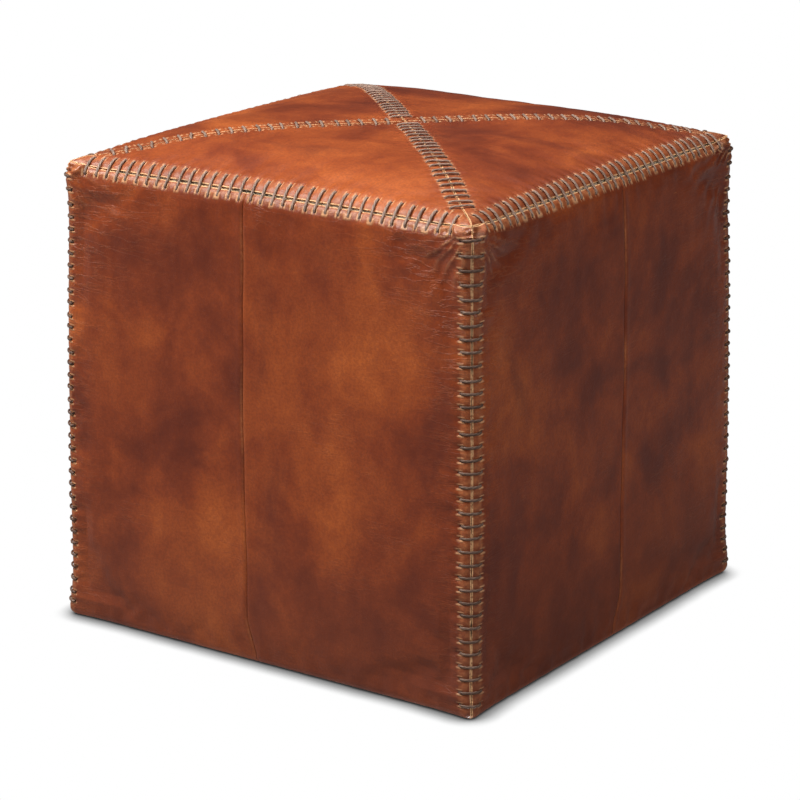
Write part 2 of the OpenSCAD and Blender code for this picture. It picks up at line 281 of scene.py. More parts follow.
uprights = [Lacing(FOOT_R + 6 * MM, EDGE_H - 12 * MM, UPRIGHT_PITCH, 10 + k) for k in range(4)]
brow_end = half_at(BROW_Z) - BROW_START
brows = [Lacing(-brow_end, brow_end, BROW_PITCH, 20 + k) for k in range(4)]
diagonals = [
    Lacing(DIAGONAL_REACH + 2 * MM, TOP_HALF - DIAGONAL_START, DIAGONAL_PITCH / math.sqrt(2), 30 + k)
    for k in range(4)
]


def upright_reach(corner, hand):
    """Reach of an upright edge's stitches on to its left or right neighbour. The front-left edge's
    lacing sits a little round the corner, so less of it is on the front."""
    return TURNED_REACH if (corner, hand) == (3, -1) else UPRIGHT_REACH


def laced(lacing, side, d, s, reach, strength=1.0, band_pale=0.8):
    """Height that lacing gives the leather, d from its seam and s along it, and values that tell
    the leather's finish where the pale band (partly wear, partly painted highlight), the painted hole
    shadows and the painted glints beside the cords go."""
    w, which = lacing.nearest(s, side)
    hole = reach + lacing.stray[side][which]
    pull = lacing.pull[which]
    inside = (s > lacing.along[0] - lacing.pitch) & (s < lacing.along[-1] + lacing.pitch)
    wave = -np.cos(2 * np.pi * np.clip(w / lacing.pitch, -0.5, 0.5))
    dimple = np.exp(-((d - hole) ** 2 + w**2) / (1.7 * MM) ** 2)
    groove = bell(w, 1.5 * MM) * smooth((hole - d) / (2 * MM))
    height = -1.0 * MM * pull * dimple - 0.4 * MM * groove
    height += 0.26 * MM * pull * wave * bell(d - 0.75 * hole, 8 * MM)
    beyond = np.exp(-np.maximum(d - hole, 0) / (9 * MM)) * (d > hole)
    height += 0.34 * MM * pull * wave * beyond
    height += 0.35 * MM * bell(d - hole - 6 * MM, 6 * MM)
    height = height * inside - 0.45 * MM * bell(d, 1.8 * MM)
    band = smooth((hole + 1.2 * MM - d) / (2.4 * MM))
    near = np.clip(1 - abs(w) / LIP_SPAN, 0, 1) * (d < hole + LIP_SPAN)
    values = {
        # pale: the band by the lacing, partly wear and partly painted highlight on the bulges between
        # stitches.
        "pale": band_pale * band * (0.7 + 0.3 * wave) * (0.6 + 0.4 * pull / 1.35) * inside,
        # hole: where the holes get their painted shadow.
        "hole": dimple * inside,
        "beside_cord": near * inside,
        "by_hole": np.clip(1 - abs(d - hole + 0.6 * MM) / LIP_SPAN, 0, 1) * inside,
    }
    return height * strength, values


# ---------------------------------------------------------------- cloth simulation of the cover
SIM_CELLS = 44
SIM_FRAMES = 20
SIM_CAP = 2.4 * MM
TOP_SETTLE = 0.35
SLACK = 0.012
CLOTH_SETTINGS = {
    "quality": 6,
    "mass": 0.35,
    "tension_stiffness": 25,
    "compression_stiffness": 25,
    "shear_stiffness": 12,
    "bending_stiffness": 1.2,
    "use_pressure": True,
    "uniform_pressure_force": 1.5,
    "shrink_min": -SLACK,
    "shrink_max": -SLACK,
    "vertex_group_mass": "held",
    "pin_stiffness": 4,
}


def cover_grids():
    """Coarse grids of the four sides, the top and the base, which share their border points."""
    t = np.linspace(-1, 1, SIM_CELLS + 1)
    z = np.linspace(0, EDGE_H, SIM_CELLS + 1)
    half = half_at(z)[:, None]
    side = np.stack([half * t, -half + 0 * t, z[:, None] + 0 * t], -1)
    flat_x, flat_y = np.meshgrid(t, t)
    top = np.stack([TOP_HALF * flat_x, TOP_HALF * flat_y], -1)
    top_z = EDGE_H + crown_at(top[..., 0], top[..., 1]) + SEAM_INSET * smooth(
        (1 - np.maximum(abs(flat_x), abs(flat_y))) * 12
    )
    top = np.concatenate([top, top_z[..., None]], -1)
    base = np.stack([BASE_HALF * flat_x, -BASE_HALF * flat_y, 0 * flat_x], -1)
    return [turned(side, k) for k in range(4)] + [top, base]


def grid_quads(ids):
    return np.stack([ids[:-1, :-1], ids[:-1, 1:], ids[1:, 1:], ids[1:, :-1]], -1).reshape(-1, 4)


def simulate_cover():
    """Moves of the coarse grids' points, from pressing slack leather out over the filling."""
    grids = cover_grids()
    flat = np.concatenate([g.reshape(-1, 3) for g in grids])
    _, first, ids = np.unique(np.round(flat, 5), axis=0, return_index=True, return_inverse=True)
    points = flat[first]
    ids = ids.reshape(-1)
    count = (SIM_CELLS + 1) ** 2
    id_grids = [ids[i * count : (i + 1) * count].reshape(SIM_CELLS + 1, -1) for i in range(len(grids))]
    mesh = bpy.data.meshes.new("cover_sim")
    mesh.from_pydata(points.tolist(), [], np.concatenate([grid_quads(g) for g in id_grids]).tolist())
    mesh.update()
    cover = bpy.data.objects.new("cover_sim", mesh)
    bpy.context.scene.collection.objects.link(cover)

    inner = np.maximum(abs(points[:, 0]), abs(points[:, 1])) / half_at(points[:, 2])
    near_top = bell(points[:, 2] - EDGE_H, 14 * MM) * smooth((inner - 0.9) * 12)
    outer = np.sort(abs(points[:, :2]), axis=1) / half_at(points[:, 2])[:, None]
    near_upright = smooth((outer[:, 0] - 0.93) * 16)
    near_floor = smooth(1 - points[:, 2] / (20 * MM))
    held = np.clip(np.maximum.reduce([near_top, near_upright, near_floor]), 0, 1)
    pins = cover.vertex_groups.new(name="held")
    for i, share in enumerate(held):
        pins.add([i], float(share), "REPLACE")

    cloth = cover.modifiers.new("cloth", "CLOTH")
    for key, value in CLOTH_SETTINGS.items():
        setattr(cloth.settings, key, value)
    cloth.settings.effector_weights.gravity = 0
    cloth.point_cache.frame_end = SIM_FRAMES
    for step in range(1, SIM_FRAMES + 1):
        bpy.context.scene.frame_set(step)
    settled = cover.evaluated_get(bpy.context.evaluated_depsgraph_get()).to_mesh()
    moved = np.empty(len(points) * 3, np.float32)
    settled.vertices.foreach_get("co", moved)
    moves = np.nan_to_num(moved.reshape(-1, 3) - points)
    bpy.context.scene.frame_set(1)
    bpy.data.objects.remove(cover)
    size = np.linalg.norm(moves, axis=1, keepdims=True)
    moves *= SIM_CAP * np.tanh(size / SIM_CAP) / np.maximum(size, 1e-9)
    moves[points[:, 2] < 1 * MM] = 0
    return [moves[g] for g in id_grids]


cover_moves = simulate_cover()


def sample(grid, row, col):
    """Values of a grid at fractional rows and columns."""
    row = np.clip(row, 0, grid.shape[0] - 1.001)
    col = np.clip(col, 0, grid.shape[1] - 1.001)
    r, c = row.astype(int), col.astype(int)
    a, b = (row - r)[..., None], (col - c)[..., None]
    low = grid[r, c] * (1 - b) + grid[r, c + 1] * b
    high = grid[r + 1, c] * (1 - b) + grid[r + 1, c + 1] * b
    return low * (1 - a) + high * a


def cover_move_on_side(points, face):
    """Simulated move of points in a side's own frame, as a move in the row frame."""
    seam_half = half_at(points[..., 2]) - CORNER_R * (1 - math.cos(SEAM_TURN))
    col = (np.clip(points[..., 0] / seam_half, -1, 1) + 1) / 2 * SIM_CELLS
    return sample(cover_moves[face], points[..., 2] / EDGE_H * SIM_CELLS, col)


def cover_move_on_top(points):
    """Simulated move of points of the top, which are in the row frame."""
    edge = TOP_HALF - SEAM_INSET
    col = (np.clip(points[..., 0] / edge, -1, 1) + 1) / 2 * SIM_CELLS
    row = (np.clip(points[..., 1] / edge, -1, 1) + 1) / 2 * SIM_CELLS
    return TOP_SETTLE * sample(cover_moves[4], row, col)


# ---------------------------------------------------------------- soft relief of the leather
broad, middling, fine_noise, gate = Noise(1), Noise(2), Noise(3), Noise(4)


def softness(points, upright):
    """Slow dents and swells of stuffed leather, as a height."""
    stretch = (1, 1, 2.2) if upright else (1.3, 1.3, 1)
    return (
        0.9 * MM * broad(points, 95 * MM, stretch)
        + 0.4 * MM * middling(points, 38 * MM, stretch)
        + 0.12 * MM * fine_noise(points, 14 * MM, stretch)
    )


corner_points = [
    turned(np.array([TOP_HALF - SEAM_INSET, SEAM_INSET - TOP_HALF, EDGE_H]), k) for k in range(4)
]
FOLD_HEIGHT = 1.5 * MM
FOLD_START = 9 * MM
FOLD_REACH = 62 * MM
FOLDS_PER_RADIAN = 27
TUCK_HEIGHT = 2.8 * MM
TUCK_REACH = 16 * MM
GATHER_HEIGHT = 1.2 * MM


def corner_distance(points):
    """Distance to the nearest laced top corner."""
    return np.min([np.linalg.norm(points - corner, axis=-1) for corner in corner_points], axis=0)


def corner_folds(points):
    """Fine folds that fan out from the laced top corners, and where their crests are, which get a
    painted highlight.
    """
    height = np.zeros(points.shape[:-1])
    crests = np.zeros(points.shape[:-1])
    wobble = 0.55 * middling(points, 24 * MM) + 0.3 * fine_noise(points, 10 * MM)
    patchy = np.clip(0.35 + 0.75 * gate(points, 26 * MM), 0, 1)
    for k, corner in enumerate(corner_points):
        away = points - corner
        r = np.linalg.norm(away, axis=-1)
        fall = np.arctan2(np.hypot(away[..., 0], away[..., 1]), -away[..., 2])
        fan = np.sin(fall * FOLDS_PER_RADIAN + 5 * wobble + 2 * k)
        strength = smooth((r - FOLD_START) / (14 * MM)) * np.exp(-((r / FOLD_REACH) ** 1.4)) * patchy
        height += FOLD_HEIGHT * fan * strength
        close = bell(r - 14 * MM, 26 * MM)
        crests = np.maximum(crests, smooth((fan - 0.6) * 3.5) * np.clip(2 * strength, 0, 1) * close)
    return height, crests


def corner_tuck(d, below, seed):
    """The gathered lip and hollow where the leather tucks in under a top corner, and its crests, which
    get a painted highlight.
    """
    wobble = 0.8 * MM * gate(np.stack([d, below, 0 * d + seed], -1), 9 * MM)
    r = np.hypot(d, 1.15 * below) + wobble
    lip = TUCK_HEIGHT * bell(r - TUCK_REACH, 3.4 * MM) * smooth((23 * MM - below) / (10 * MM))
    lip = lip * smooth((d - 3 * MM) / (7 * MM))
    hollow = -TUCK_HEIGHT * bell(np.hypot(d - 5 * MM, below - 8 * MM), 5 * MM)
    gather = np.sin(below / (0.8 * MM) + 0.9 * np.sin(d / (2.2 * MM) + seed) + seed)
    where = bell(d - 2 * MM, 9 * MM) * bell(below - 9 * MM, 7 * MM)
    return lip + hollow + GATHER_HEIGHT * gather * where, smooth(2 * gather - 0.4) * where


# ---------------------------------------------------------------- meshes from numpy grids
def make_piece(name, points, faces, values=None):
    """A mesh object from arrays, with one float attribute for each entry of values."""
    mesh = bpy.data.meshes.new(name)
    mesh.vertices.add(len(points))
    mesh.vertices.foreach_set("co", np.asarray(points, np.float32).ravel())
    sides = faces.shape[1]
    mesh.loops.add(faces.size)
    mesh.loops.foreach_set("vertex_index", faces.astype(np.int32).ravel())
    mesh.polygons.add(len(faces))
    mesh.polygons.foreach_set("loop_start", np.arange(0, faces.size, sides, dtype=np.int32))
    mesh.polygons.foreach_set("loop_total", np.full(len(faces), sides, np.int32))
    mesh.update(calc_edges=True)
    mesh.polygons.foreach_set("use_smooth", np.ones(len(faces), bool))
    for key, array in (values or {}).items():
        layer = mesh.attributes.new(key, "FLOAT", "POINT")
        layer.data.foreach_set("value", np.asarray(array, np.float32).ravel())
    mesh.validate()
    piece = bpy.data.objects.new(name, mesh)
    bpy.context.scene.collection.objects.link(piece)
    return piece


def closed_grid(outer, inner):
    """Points and quads of the closed solid between two grids of the same size."""
    rows, cols = outer.shape[:2]
    count = rows * cols
    ids = np.arange(count).reshape(rows, cols)
    border = np.concatenate([ids[0, :-1], ids[:-1, -1], ids[-1, :0:-1], ids[:0:-1, 0]])
    following = np.roll(border, -1)
    skin = grid_quads(ids)
    lining = grid_quads(ids)[:, ::-1] + count
    rim = np.stack([following, border, border + count, following + count], -1)
    points = np.concatenate([outer.reshape(-1, 3), inner.reshape(-1, 3)])
    faces = np.concatenate([skin, lining, rim])
    a, b, c = (points[skin[:, i]] for i in range(3))
    outward = np.sum(np.cross(b - a, c - a) * (a - inner.reshape(-1, 3)[skin[:, 0]]))
    return points, faces if outward > 0 else faces[:, ::-1]


def tube_faces(rings, around):
    """Quads of a closed tube, with its two ends."""
    ids = np.arange(rings * around).reshape(rings, around)
    beside = np.roll(ids, -1, axis=1)
    quads = np.stack([ids[:-1], beside[:-1], beside[1:], ids[1:]], -1).reshape(-1, 4)
    ends = (ids[0][::-1], ids[-1])
    caps = [[e[0], e[i], e[i + 1], e[i + 2]] for e in ends for i in range(1, around - 2, 2)]
    return np.concatenate([quads, caps])


SHARP_TURN = math.radians(55)
MARKS = ("pale", "cut", "hole", "beside_cord", "by_hole", "crest", "crease", "grime")


class Panel:
    """One leather panel: its soft surface, its laced surface, and its colouring."""

    def __init__(self, name, points, rows, cols, hide, tone):
        self.name = name
        self.soft = points
        self.rows = rows
        self.cols = cols
        self.normals = grid_normals(points)
        self.height = np.zeros(points.shape[:-1])
        self.values = {key: np.zeros(points.shape[:-1]) for key in MARKS}
        self.values["hide"] = np.full(points.shape[:-1], float(hide))
        self.values["tone"] = np.full(points.shape[:-1], float(tone))

    def add(self, height, **values):
        self.height = self.height + height
        for key, array in values.items():
            self.values[key] = np.maximum(self.values[key], array)

    def build(self):
        outer = self.soft + self.normals * self.height[..., None]
        inner = self.soft + self.normals * (np.minimum(self.height, 0) * 0.5 - LEATHER_T)[..., None]
        points, faces = closed_grid(outer, inner)
        values = {key: np.concatenate([v.ravel(), v.ravel()]) for key, v in self.values.items()}
        count = outer.shape[0] * outer.shape[1]
        values["cut"][count:] = 1
        self.piece = make_piece(self.name, points, faces, values)
        self.piece.data.set_sharp_from_angle(angle=SHARP_TURN)
        return self.piece

    def at(self, row, col):
        """Soft surface and normal where the panel's own row and column measures say."""
        r = np.interp(row, self.rows, np.arange(len(self.rows)))
        c = np.interp(col, self.cols, np.arange(len(self.cols)))
        n = sample(self.normals, r, c)
        return sample(self.soft, r, c), n / np.linalg.norm(n, axis=-1, keepdims=True)


# ---------------------------------------------------------------- leather panels
SIDE_TONES = (0.0, -0.03, 0.0, 0.04)
TOP_TONES = (0.03, 0.07, -0.04, 0.02)
BASE_TONE = -0.12
TOP_COLUMNS = 118


def edge_gap(distance_along, seed):
    """How far back a cut edge stands from its seam, which varies along it."""
    places = np.stack([distance_along, distance_along * 0, distance_along * 0 + seed], -1)
    return 0.25 * MM + 0.35 * MM * np.clip(gate(places, 21 * MM) + 0.2, 0, 1)


SEAM_GROOVE = 0.8 * MM
SEAM_RIDGE = 0.4 * MM
CREASE_REACH = 110 * MM
DARKENING_HEIGHT = 170 * MM
FLOOR_CLEAR = 6 * MM


def add_side_relief(panel, face, hand, d, above, aside, across, z):
    """Heights and marks of one half of a side, from its lacing, folds and own seam, with its pale band
    (partly wear, partly painted highlight), painted glints, painted hole shadows and darkening towards
    the floor. d, above and aside are the distances from the upright, top edge and own seams."""
    corner = face if hand > 0 else (face - 1) % 4
    wall = smooth((above - 2 * MM) / (6 * MM))
    panel.add(softness(panel.soft, True) * smooth(z / (30 * MM)))
    side = 0 if hand > 0 else 1
    reach = upright_reach(corner, hand)
    # How pale the upright's band is, more so low down: partly wear, partly painted highlight.
    upright_band_paleness = 0.4 + 0.3 * smooth((EDGE_H - z) / (200 * MM))
    height, values = laced(uprights[corner], side, d, z, reach, band_pale=upright_band_paleness)
    panel.add(height * wall, cut=bell(d, 1.1 * MM), **values)
    height, values = laced(brows[face], 0, above, across, BROW_REACH_SIDE)
    panel.add(height * smooth(d / (5 * MM)), cut=bell(above, 0.9 * MM), **values)
    folds, crests = corner_folds(panel.soft)
    panel.add(folds, crest=crests)
    tuck, crests = corner_tuck(d, above, face + hand)
    panel.add(tuck, crest=crests)
    raised = 1.0 if hand * SEAM_SHIFT[face] > 0 else 0.35
    seam = raised * SEAM_RIDGE * bell(aside - 4 * MM, 3 * MM) - SEAM_GROOVE * bell(aside, 1.3 * MM)
    # Painted highlight: a pale line along the raised side of the side's own seam.
    line = bell(aside - 0.9 * MM, 1.1 * MM) * np.clip(0.5 + gate(panel.soft, 40 * MM), 0, 1)
    panel.add(seam, pale=0.7 * raised * line)
    crease = bell(corner_distance(panel.soft), CREASE_REACH) + 0.55 * bell(d - 18 * MM, 26 * MM)
    # Darker towards the floor, most within 14 mm of it.
    grime = 0.7 * smooth(1 - z / DARKENING_HEIGHT) + 0.3 * smooth(1 - z / (14 * MM))
    panel.add(0, crease=np.clip(crease, 0, 1), grime=grime)
    panel.height[panel.soft[..., 2] < FLOOR_CLEAR] = 0


def build_side(face, hand):
    """One half of a side. hand is 1 for the right half, as seen from outside, and -1 for the left."""
    v = np.concatenate(
        [
            np.linspace(0, HEM_L + FOOT_L, 12)[:-1],
            HEM_L + FOOT_L + graded(WALL_L + BROW_L, 1.5 * MM, 2.0 * MM, 12 * MM, 34 * MM),
        ]
    )
    whole = BASE_HALF - (1 - SEAM_TURN) * CORNER_R
    share = graded(whole, 1.3 * MM, 4.6 * MM, 5 * MM, 26 * MM) / whole
    points, d, u, aside = side_surface(v, share, face, hand)
    across = u * hand
    z = points[..., 2]
    gap = edge_gap(z, face + 0.37 * hand)
    pull_back = (gap * bell(d, 3 * MM))[..., None]
    points = points + pull_back * np.array([-1.0, 0, 0])
    points[..., 0] += 0.2 * MM * bell(aside, 2 * MM)
    points[..., 0] *= hand
    world = turned(points, face) + cover_move_on_side(points, face)
    world = world + corner_swell(world)
    if hand < 0:
        world, d, across, aside, z = (a[:, ::-1] for a in (world, d, across, aside, z))
        share = -share[::-1]
    above = PROFILE_L - v[:, None] + 0 * d
    name = "cover_side_" + HALF_NAMES[face, hand]
    panel = Panel(name, world, v, share, 1 + face * 2 + hand, SIDE_TONES[face])
    add_side_relief(panel, face, hand, d, above, aside, across, z)
    piece = panel.build()
    stand_in(piece, "side_panel_" + HALF_NAMES[face, hand])
    return panel


def build_top(face):
    """One triangle of the top."""
    depth = BROW_L + TOP_HALF - BROW_R
    w = graded(depth, 1.4 * MM, 2.1 * MM, 24 * MM, 0)
    w = w[w < depth - 0.8 * MM]
    outward = np.linspace(0, 1, TOP_COLUMNS)
    across = np.concatenate([-outward[:0:-1], outward])
    world, reach = top_surface(w, across)
    x = world[..., 0]
    q = (reach - abs(x)) / math.sqrt(2)
    along = (reach + abs(x)) / 2
    gap = edge_gap(along, face + 0.11)
    world[..., 0] -= np.sign(x) * np.minimum(gap * bell(q, 3 * MM) * 1.4, abs(x))
    world[..., 1] += (edge_gap(x, face + 0.73) * bell(w, 3 * MM)[:, None])
    world = turned(world, face)
    world = world + cover_move_on_top(world)
    world = world + corner_swell(world)
    panel = Panel("cover_top_" + FACES[face], world, w, across, 20 + face, TOP_TONES[face])
    inward = w[:, None] + 0 * x
    panel.add(softness(world, False))
    height, values = laced(brows[face], 1, inward, x, BROW_REACH_TOP, band_pale=0.5)
    panel.add(height * smooth(q / (4 * MM)), cut=bell(inward, 0.9 * MM), **values)
    for hand, corner in ((1, face), (-1, (face - 1) % 4)):
        here = np.where(x * hand >= 0, 1.0, 0.0)
        height, values = laced(
            diagonals[corner], 0 if hand > 0 else 1, q, along, DIAGONAL_REACH, 0.85, 0.3
        )
        values = {name: value * here for name, value in values.items()}
        values["by_hole"] *= 0.8
        fade = here * smooth(inward / (5 * MM))
        panel.add(height * fade, cut=bell(q, 0.9 * MM) * here, **values)
    folds, crests = corner_folds(world)
    panel.add(0.5 * folds, crest=0.6 * crests)
    panel.add(0, crease=0.8 * bell(corner_distance(world), 80 * MM))
    piece = panel.build()
    stand_in(piece, "top_panel_" + FACES[face])
    return panel


sides = {(face, hand): build_side(face, hand) for face in range(4) for hand in (-1, 1)}
tops = [build_top(face) for face in range(4)]


# ---------------------------------------------------------------- lacing cord
CORD_SIDES = 12
CORD_RINGS = 22
CORD_TWIST = 2 * math.pi / (5.2 * MM)
PLIES = 3
CORD_WIDE = 1.14
CORD_FLAT = 0.8


def smooth_path(points, count):
    """A path of count points, evenly spread along a rounded line through the given ones."""
    for _ in range(3):
        a, b = points[:-1] * 0.75 + points[1:] * 0.25, points[:-1] * 0.25 + points[1:] * 0.75
        middle = np.stack([a, b], 1).reshape(-1, 3)
        points = np.concatenate([points[:1], middle, points[-1:]])
    run = np.concatenate([[0], np.cumsum(np.linalg.norm(np.diff(points, axis=0), axis=1))])
    places = np.linspace(0, run[-1], count)
    return np.stack([np.interp(places, run, points[:, i]) for i in range(3)], -1), places


def cord_tube(path, outward, radius, start_turn):
    """Points and quads of a twisted cord along a path."""
    centres, run = smooth_path(path, CORD_RINGS)
    tangent = np.gradient(centres, axis=0)
    tangent /= np.linalg.norm(tangent, axis=1, keepdims=True)
    side = np.cross(tangent, outward)
    side /= np.linalg.norm(side, axis=1, keepdims=True)
    up = np.cross(side, tangent)
    turn = np.linspace(0, 2 * np.pi, CORD_SIDES, endpoint=False)
    ply = np.cos(PLIES * (turn[None, :] - start_turn) - CORD_TWIST * run[:, None])
    belly = 0.62 + 0.38 * np.sqrt(np.clip(np.sin(np.pi * run / run[-1]), 0, 1))[:, None]
    r = radius * belly * (0.94 + 0.10 * ply)
    ring = (
        centres[:, None]
        + side[:, None] * (r * np.cos(turn) * CORD_WIDE)[..., None]
        + up[:, None] * (r * np.sin(turn) * CORD_FLAT)[..., None]
    )
    valleys = np.clip(0.5 - 0.5 * ply, 0, 1)
    return ring.reshape(-1, 3), tube_faces(CORD_RINGS, CORD_SIDES), valleys.ravel()


def stitch_path(first, second, legs):
    """Points of one stitch, from a hole in one panel to a hole in the other. legs gives each
    panel's row and column at a distance from the seam."""
    path, normals = [], []
    for panel, leg, reach, order in ((first, legs[0], legs[2], 1), (second, legs[1], legs[3], -1)):
        far = reach + 0.4 * MM
        steps = np.array([far + 0.2 * MM, far, far - 0.7 * MM, 0.8 * far, 0.55 * far, 0.28 * far, 0.0])
        lift = np.array([-3.0, -1.2, 0.1, 0.42, 0.56, 0.58, 0.5]) * CORD_R
        steps, lift = steps[::order], lift[::order]
        row, col = leg(steps)
        place, normal = panel.at(row, col)
        path.append(place + normal * lift[:, None])
        normals.append(normal)
    path = np.concatenate([path[0][:-1], (path[0][-1:] + path[1][:1]) / 2, path[1][1:]])
    middle = normals[0][-1] + normals[1][0]
    return path, middle / np.linalg.norm(middle)


def seed_of(text):
    return sum((i + 1) * ord(c) for i, c in enumerate(text))


def build_lacing(place, lacing, first, second, legs_at, paleness):
    """A run of stitches as one piece. paleness is how pale its cord is painted, from 0 to 1: painted
    light, high for the upward-facing runs on the top edges and diagonals.
    """
    name = "cord_" + place
    random = np.random.default_rng(seed_of(name))
    points, faces, valleys, shades, total = [], [], [], [], 0
    for i in range(len(lacing.along)):
        path, outward = stitch_path(first(i), second(i), legs_at(i))
        p, f, v = cord_tube(path, outward, CORD_R * random.uniform(0.93, 1.06), random.uniform(0, 6))
        points.append(p)
        faces.append(f + total)
        valleys.append(v)
        # Painted light: each stitch's lightness is its run's paleness, with a random spread.
        shades.append(np.full(len(p), paleness + random.uniform(-0.25, 0.25)))
        total += len(p)
    piece = make_piece(
        name,
        np.concatenate(points),
        np.concatenate(faces),
        {"valley": np.concatenate(valleys), "shade": np.concatenate(shades)},
    )
    stand_in(piece, "lacing_" + place)
    return piece


def wall_row(z):
    """Distance up a side's profile where its height is z."""
    brow = BROW_R * np.arcsin(np.clip((z - BROW_Z) / BROW_R, 0, 1))
    return HEM_L + FOOT_L + np.minimum(z, BROW_Z) - FOOT_R + brow


def side_share(u, v, face, hand):
    """A side panel's own column at distances u from mid side, at rows v."""
    start = mid_seam(v, face, hand)
    return hand * (hand * u - start) / (side_widths(v)[2] - start)


def upright_legs(corner):
    lacing = uprights[corner]
    after = (corner + 1) % 4
    first, second = upright_reach(corner, 1), upright_reach(corner, -1)

    def legs_at(i):
        z = lacing.along[i] + lacing.lean[:, i]
        row = wall_row(z)
        whole = side_widths(row)[2]

        def right_half(d):
            v = row[0] + (row[1] - row[0]) / 2 * (1 - d / first)
            return v, side_share(whole[0] - d, v, corner, 1)

        def left_half(d):
            v = row[1] - (row[1] - row[0]) / 2 * (1 - d / second)
            return v, side_share(d - whole[1], v, after, -1)

        return right_half, left_half, first + lacing.stray[0, i], second + lacing.stray[1, i]

    return legs_at


def half_with(face, x):
    """Which half of a side is under the top edge's stitch at x."""
    return 1 if x >= mid_seam(np.array([PROFILE_L]), face, 1)[0] else -1


def brow_legs(face):
    lacing = brows[face]

    def legs_at(i):
        x = lacing.along[i] + lacing.lean[:, i]

        def on_side(d):
            place = x[0] + (x[1] - x[0]) / 2 * (1 - d / BROW_REACH_SIDE)
            return PROFILE_L - d, side_share(place, PROFILE_L - d, face, half_with(face, x[0]))

        def on_top(d):
            place = x[1] - (x[1] - x[0]) / 2 * (1 - d / BROW_REACH_TOP)
            return d, place / (TOP_HALF - top_rows(d)[0])

        reach_side = BROW_REACH_SIDE + lacing.stray[0, i]
        return on_side, on_top, reach_side, BROW_REACH_TOP + lacing.stray[1, i]

    return legs_at


def diagonal_legs(corner):
    lacing = diagonals[corner]

    def legs_at(i):
        along = lacing.along[i] + lacing.lean[:, i]

        def leg(hand, place):
            def on_top(d):
                reach = place + d / math.sqrt(2)
                x = place - d / math.sqrt(2)
                return TOP_HALF - reach - BROW_R + BROW_L, hand * x / reach

            return on_top

        reach = DIAGONAL_REACH + lacing.stray[:, i]
        return leg(1, along[0]), leg(-1, along[1]), reach[0], reach[1]

    return legs_at


# Painted light: the top-edge and diagonal runs face up and are painted pale as if lit from above; the
# upright runs are painted dark.
UPRIGHT_CORD_LIT = 0.25
BROW_CORD_LIT = 1.0
DIAGONAL_CORD_LIT = 0.9


def build_cords(k):
    """The lacing of one upright edge, of the top edge before it and of half a diagonal."""
    after = (k + 1) % 4

    def right_side(i):
        return sides[k, 1]

    def side_after(i):
        return sides[after, -1]

    def side_below(i):
        return sides[k, half_with(k, brows[k].along[i] + brows[k].lean[0, i])]

    def this_top(i):
        return tops[k]

    def top_after(i):
        return tops[after]

    upright, edge, diagonal = "upright_" + CORNERS[k], "top_edge_" + FACES[k], "diagonal_" + CORNERS[k]
    return [
        build_lacing(upright, uprights[k], right_side, side_after, upright_legs(k), UPRIGHT_CORD_LIT),
        build_lacing(edge, brows[k], side_below, this_top, brow_legs(k), BROW_CORD_LIT),
        build_lacing(diagonal, diagonals[k], this_top, top_after, diagonal_legs(k), DIAGONAL_CORD_LIT),
    ]


cords = [cord for k in range(4) for cord in build_cords(k)]


# ---------------------------------------------------------------- base and zip stitching
ZIP_HALF = 150 * MM
ZIP_RECESS = 7 * MM
BASE_Z = 2.3 * MM
ZIP_MID_Z = BASE_Z + ZIP_RECESS - 0.7 * MM
BASE_REACH = BASE_HALF - FOOT_R - 3 * MM
OPENING_HALF = 6 * MM
DISH_NEAR = (ZIP_HALF + 26 * MM, 22 * MM)
DISH_FAR = (ZIP_HALF + 56 * MM, 62 * MM)
MOST_SAG = BASE_Z - 2.1 * MM
TAPE_HALF = 13 * MM
LINING_T = 1 * MM
LINING_DEPTH = 3.5 * MM
LINING_TOP_HALF = TOP_HALF - 7.5 * MM
LINING_BASE_HALF = BASE_HALF - 8 * MM
DOME_SHARE = 1.05
PAD_DEPTH = 5 * MM
WADDING_T = 14 * MM
INNER_Z = BASE_Z + ZIP_RECESS + LEATHER_T + 0.7 * MM
FILLING_Z = INNER_Z + LINING_T + 1 * MM


def fade(v, near, far):
    return 1 - smooth((abs(v) - near) / (far - near))


def base_height(x, y):
    return BASE_Z + ZIP_RECESS * fade(x, DISH_NEAR[0], DISH_FAR[0]) * fade(y, DISH_NEAR[1], DISH_FAR[1])


def build_base(face):
    """Half of the base, with its edge turned at the zip's opening."""
    x = np.linspace(-BASE_REACH, BASE_REACH, 200)
    share = graded(1.0, 0.004, 0.012, 0.03, 0.03, 0.1)[::-1]
    opening = 0.2 * MM + (OPENING_HALF - 0.2 * MM) * fade(x, ZIP_HALF + 5 * MM, ZIP_HALF + 9 * MM)
    y = opening[None, :] + (BASE_REACH - opening[None, :]) * share[:, None]
    grid_x = x[None, :] + 0 * y
    z = base_height(grid_x, y)
    points = turned(np.stack([grid_x, -y, z], -1), face)
    panel = Panel("cover_base_" + FACES[face], points, share, x, 40 + face, BASE_TONE)
    panel.normals = np.zeros_like(points) + np.array([0, 0, -1.0])
    sag = 0.25 * MM * broad(points, 70 * MM) - 0.1 * MM
    sag -= 0.35 * MM * bell(y - opening - 8 * MM, 1.2 * MM) * (abs(grid_x) < ZIP_HALF + 5 * MM)
    # The base is made darker all over.
    panel.add(np.minimum(sag, MOST_SAG), grime=0.5 + 0 * y, cut=bell(y - opening, 0.6 * MM))
    piece = panel.build()
    stand_in(piece, "base_panel_" + FACES[face])
    return piece


bases = [build_base(0), build_base(2)]


THREAD_PITCH = 5 * MM
THREAD_R = 0.35 * MM
THREAD_BOW = 0.3 * MM
THREAD_RINGS = 9
THREAD_SIDES = 8
STITCH_LINE = 14 * MM
TAPE_LOW = ZIP_MID_Z - 0.3 * MM


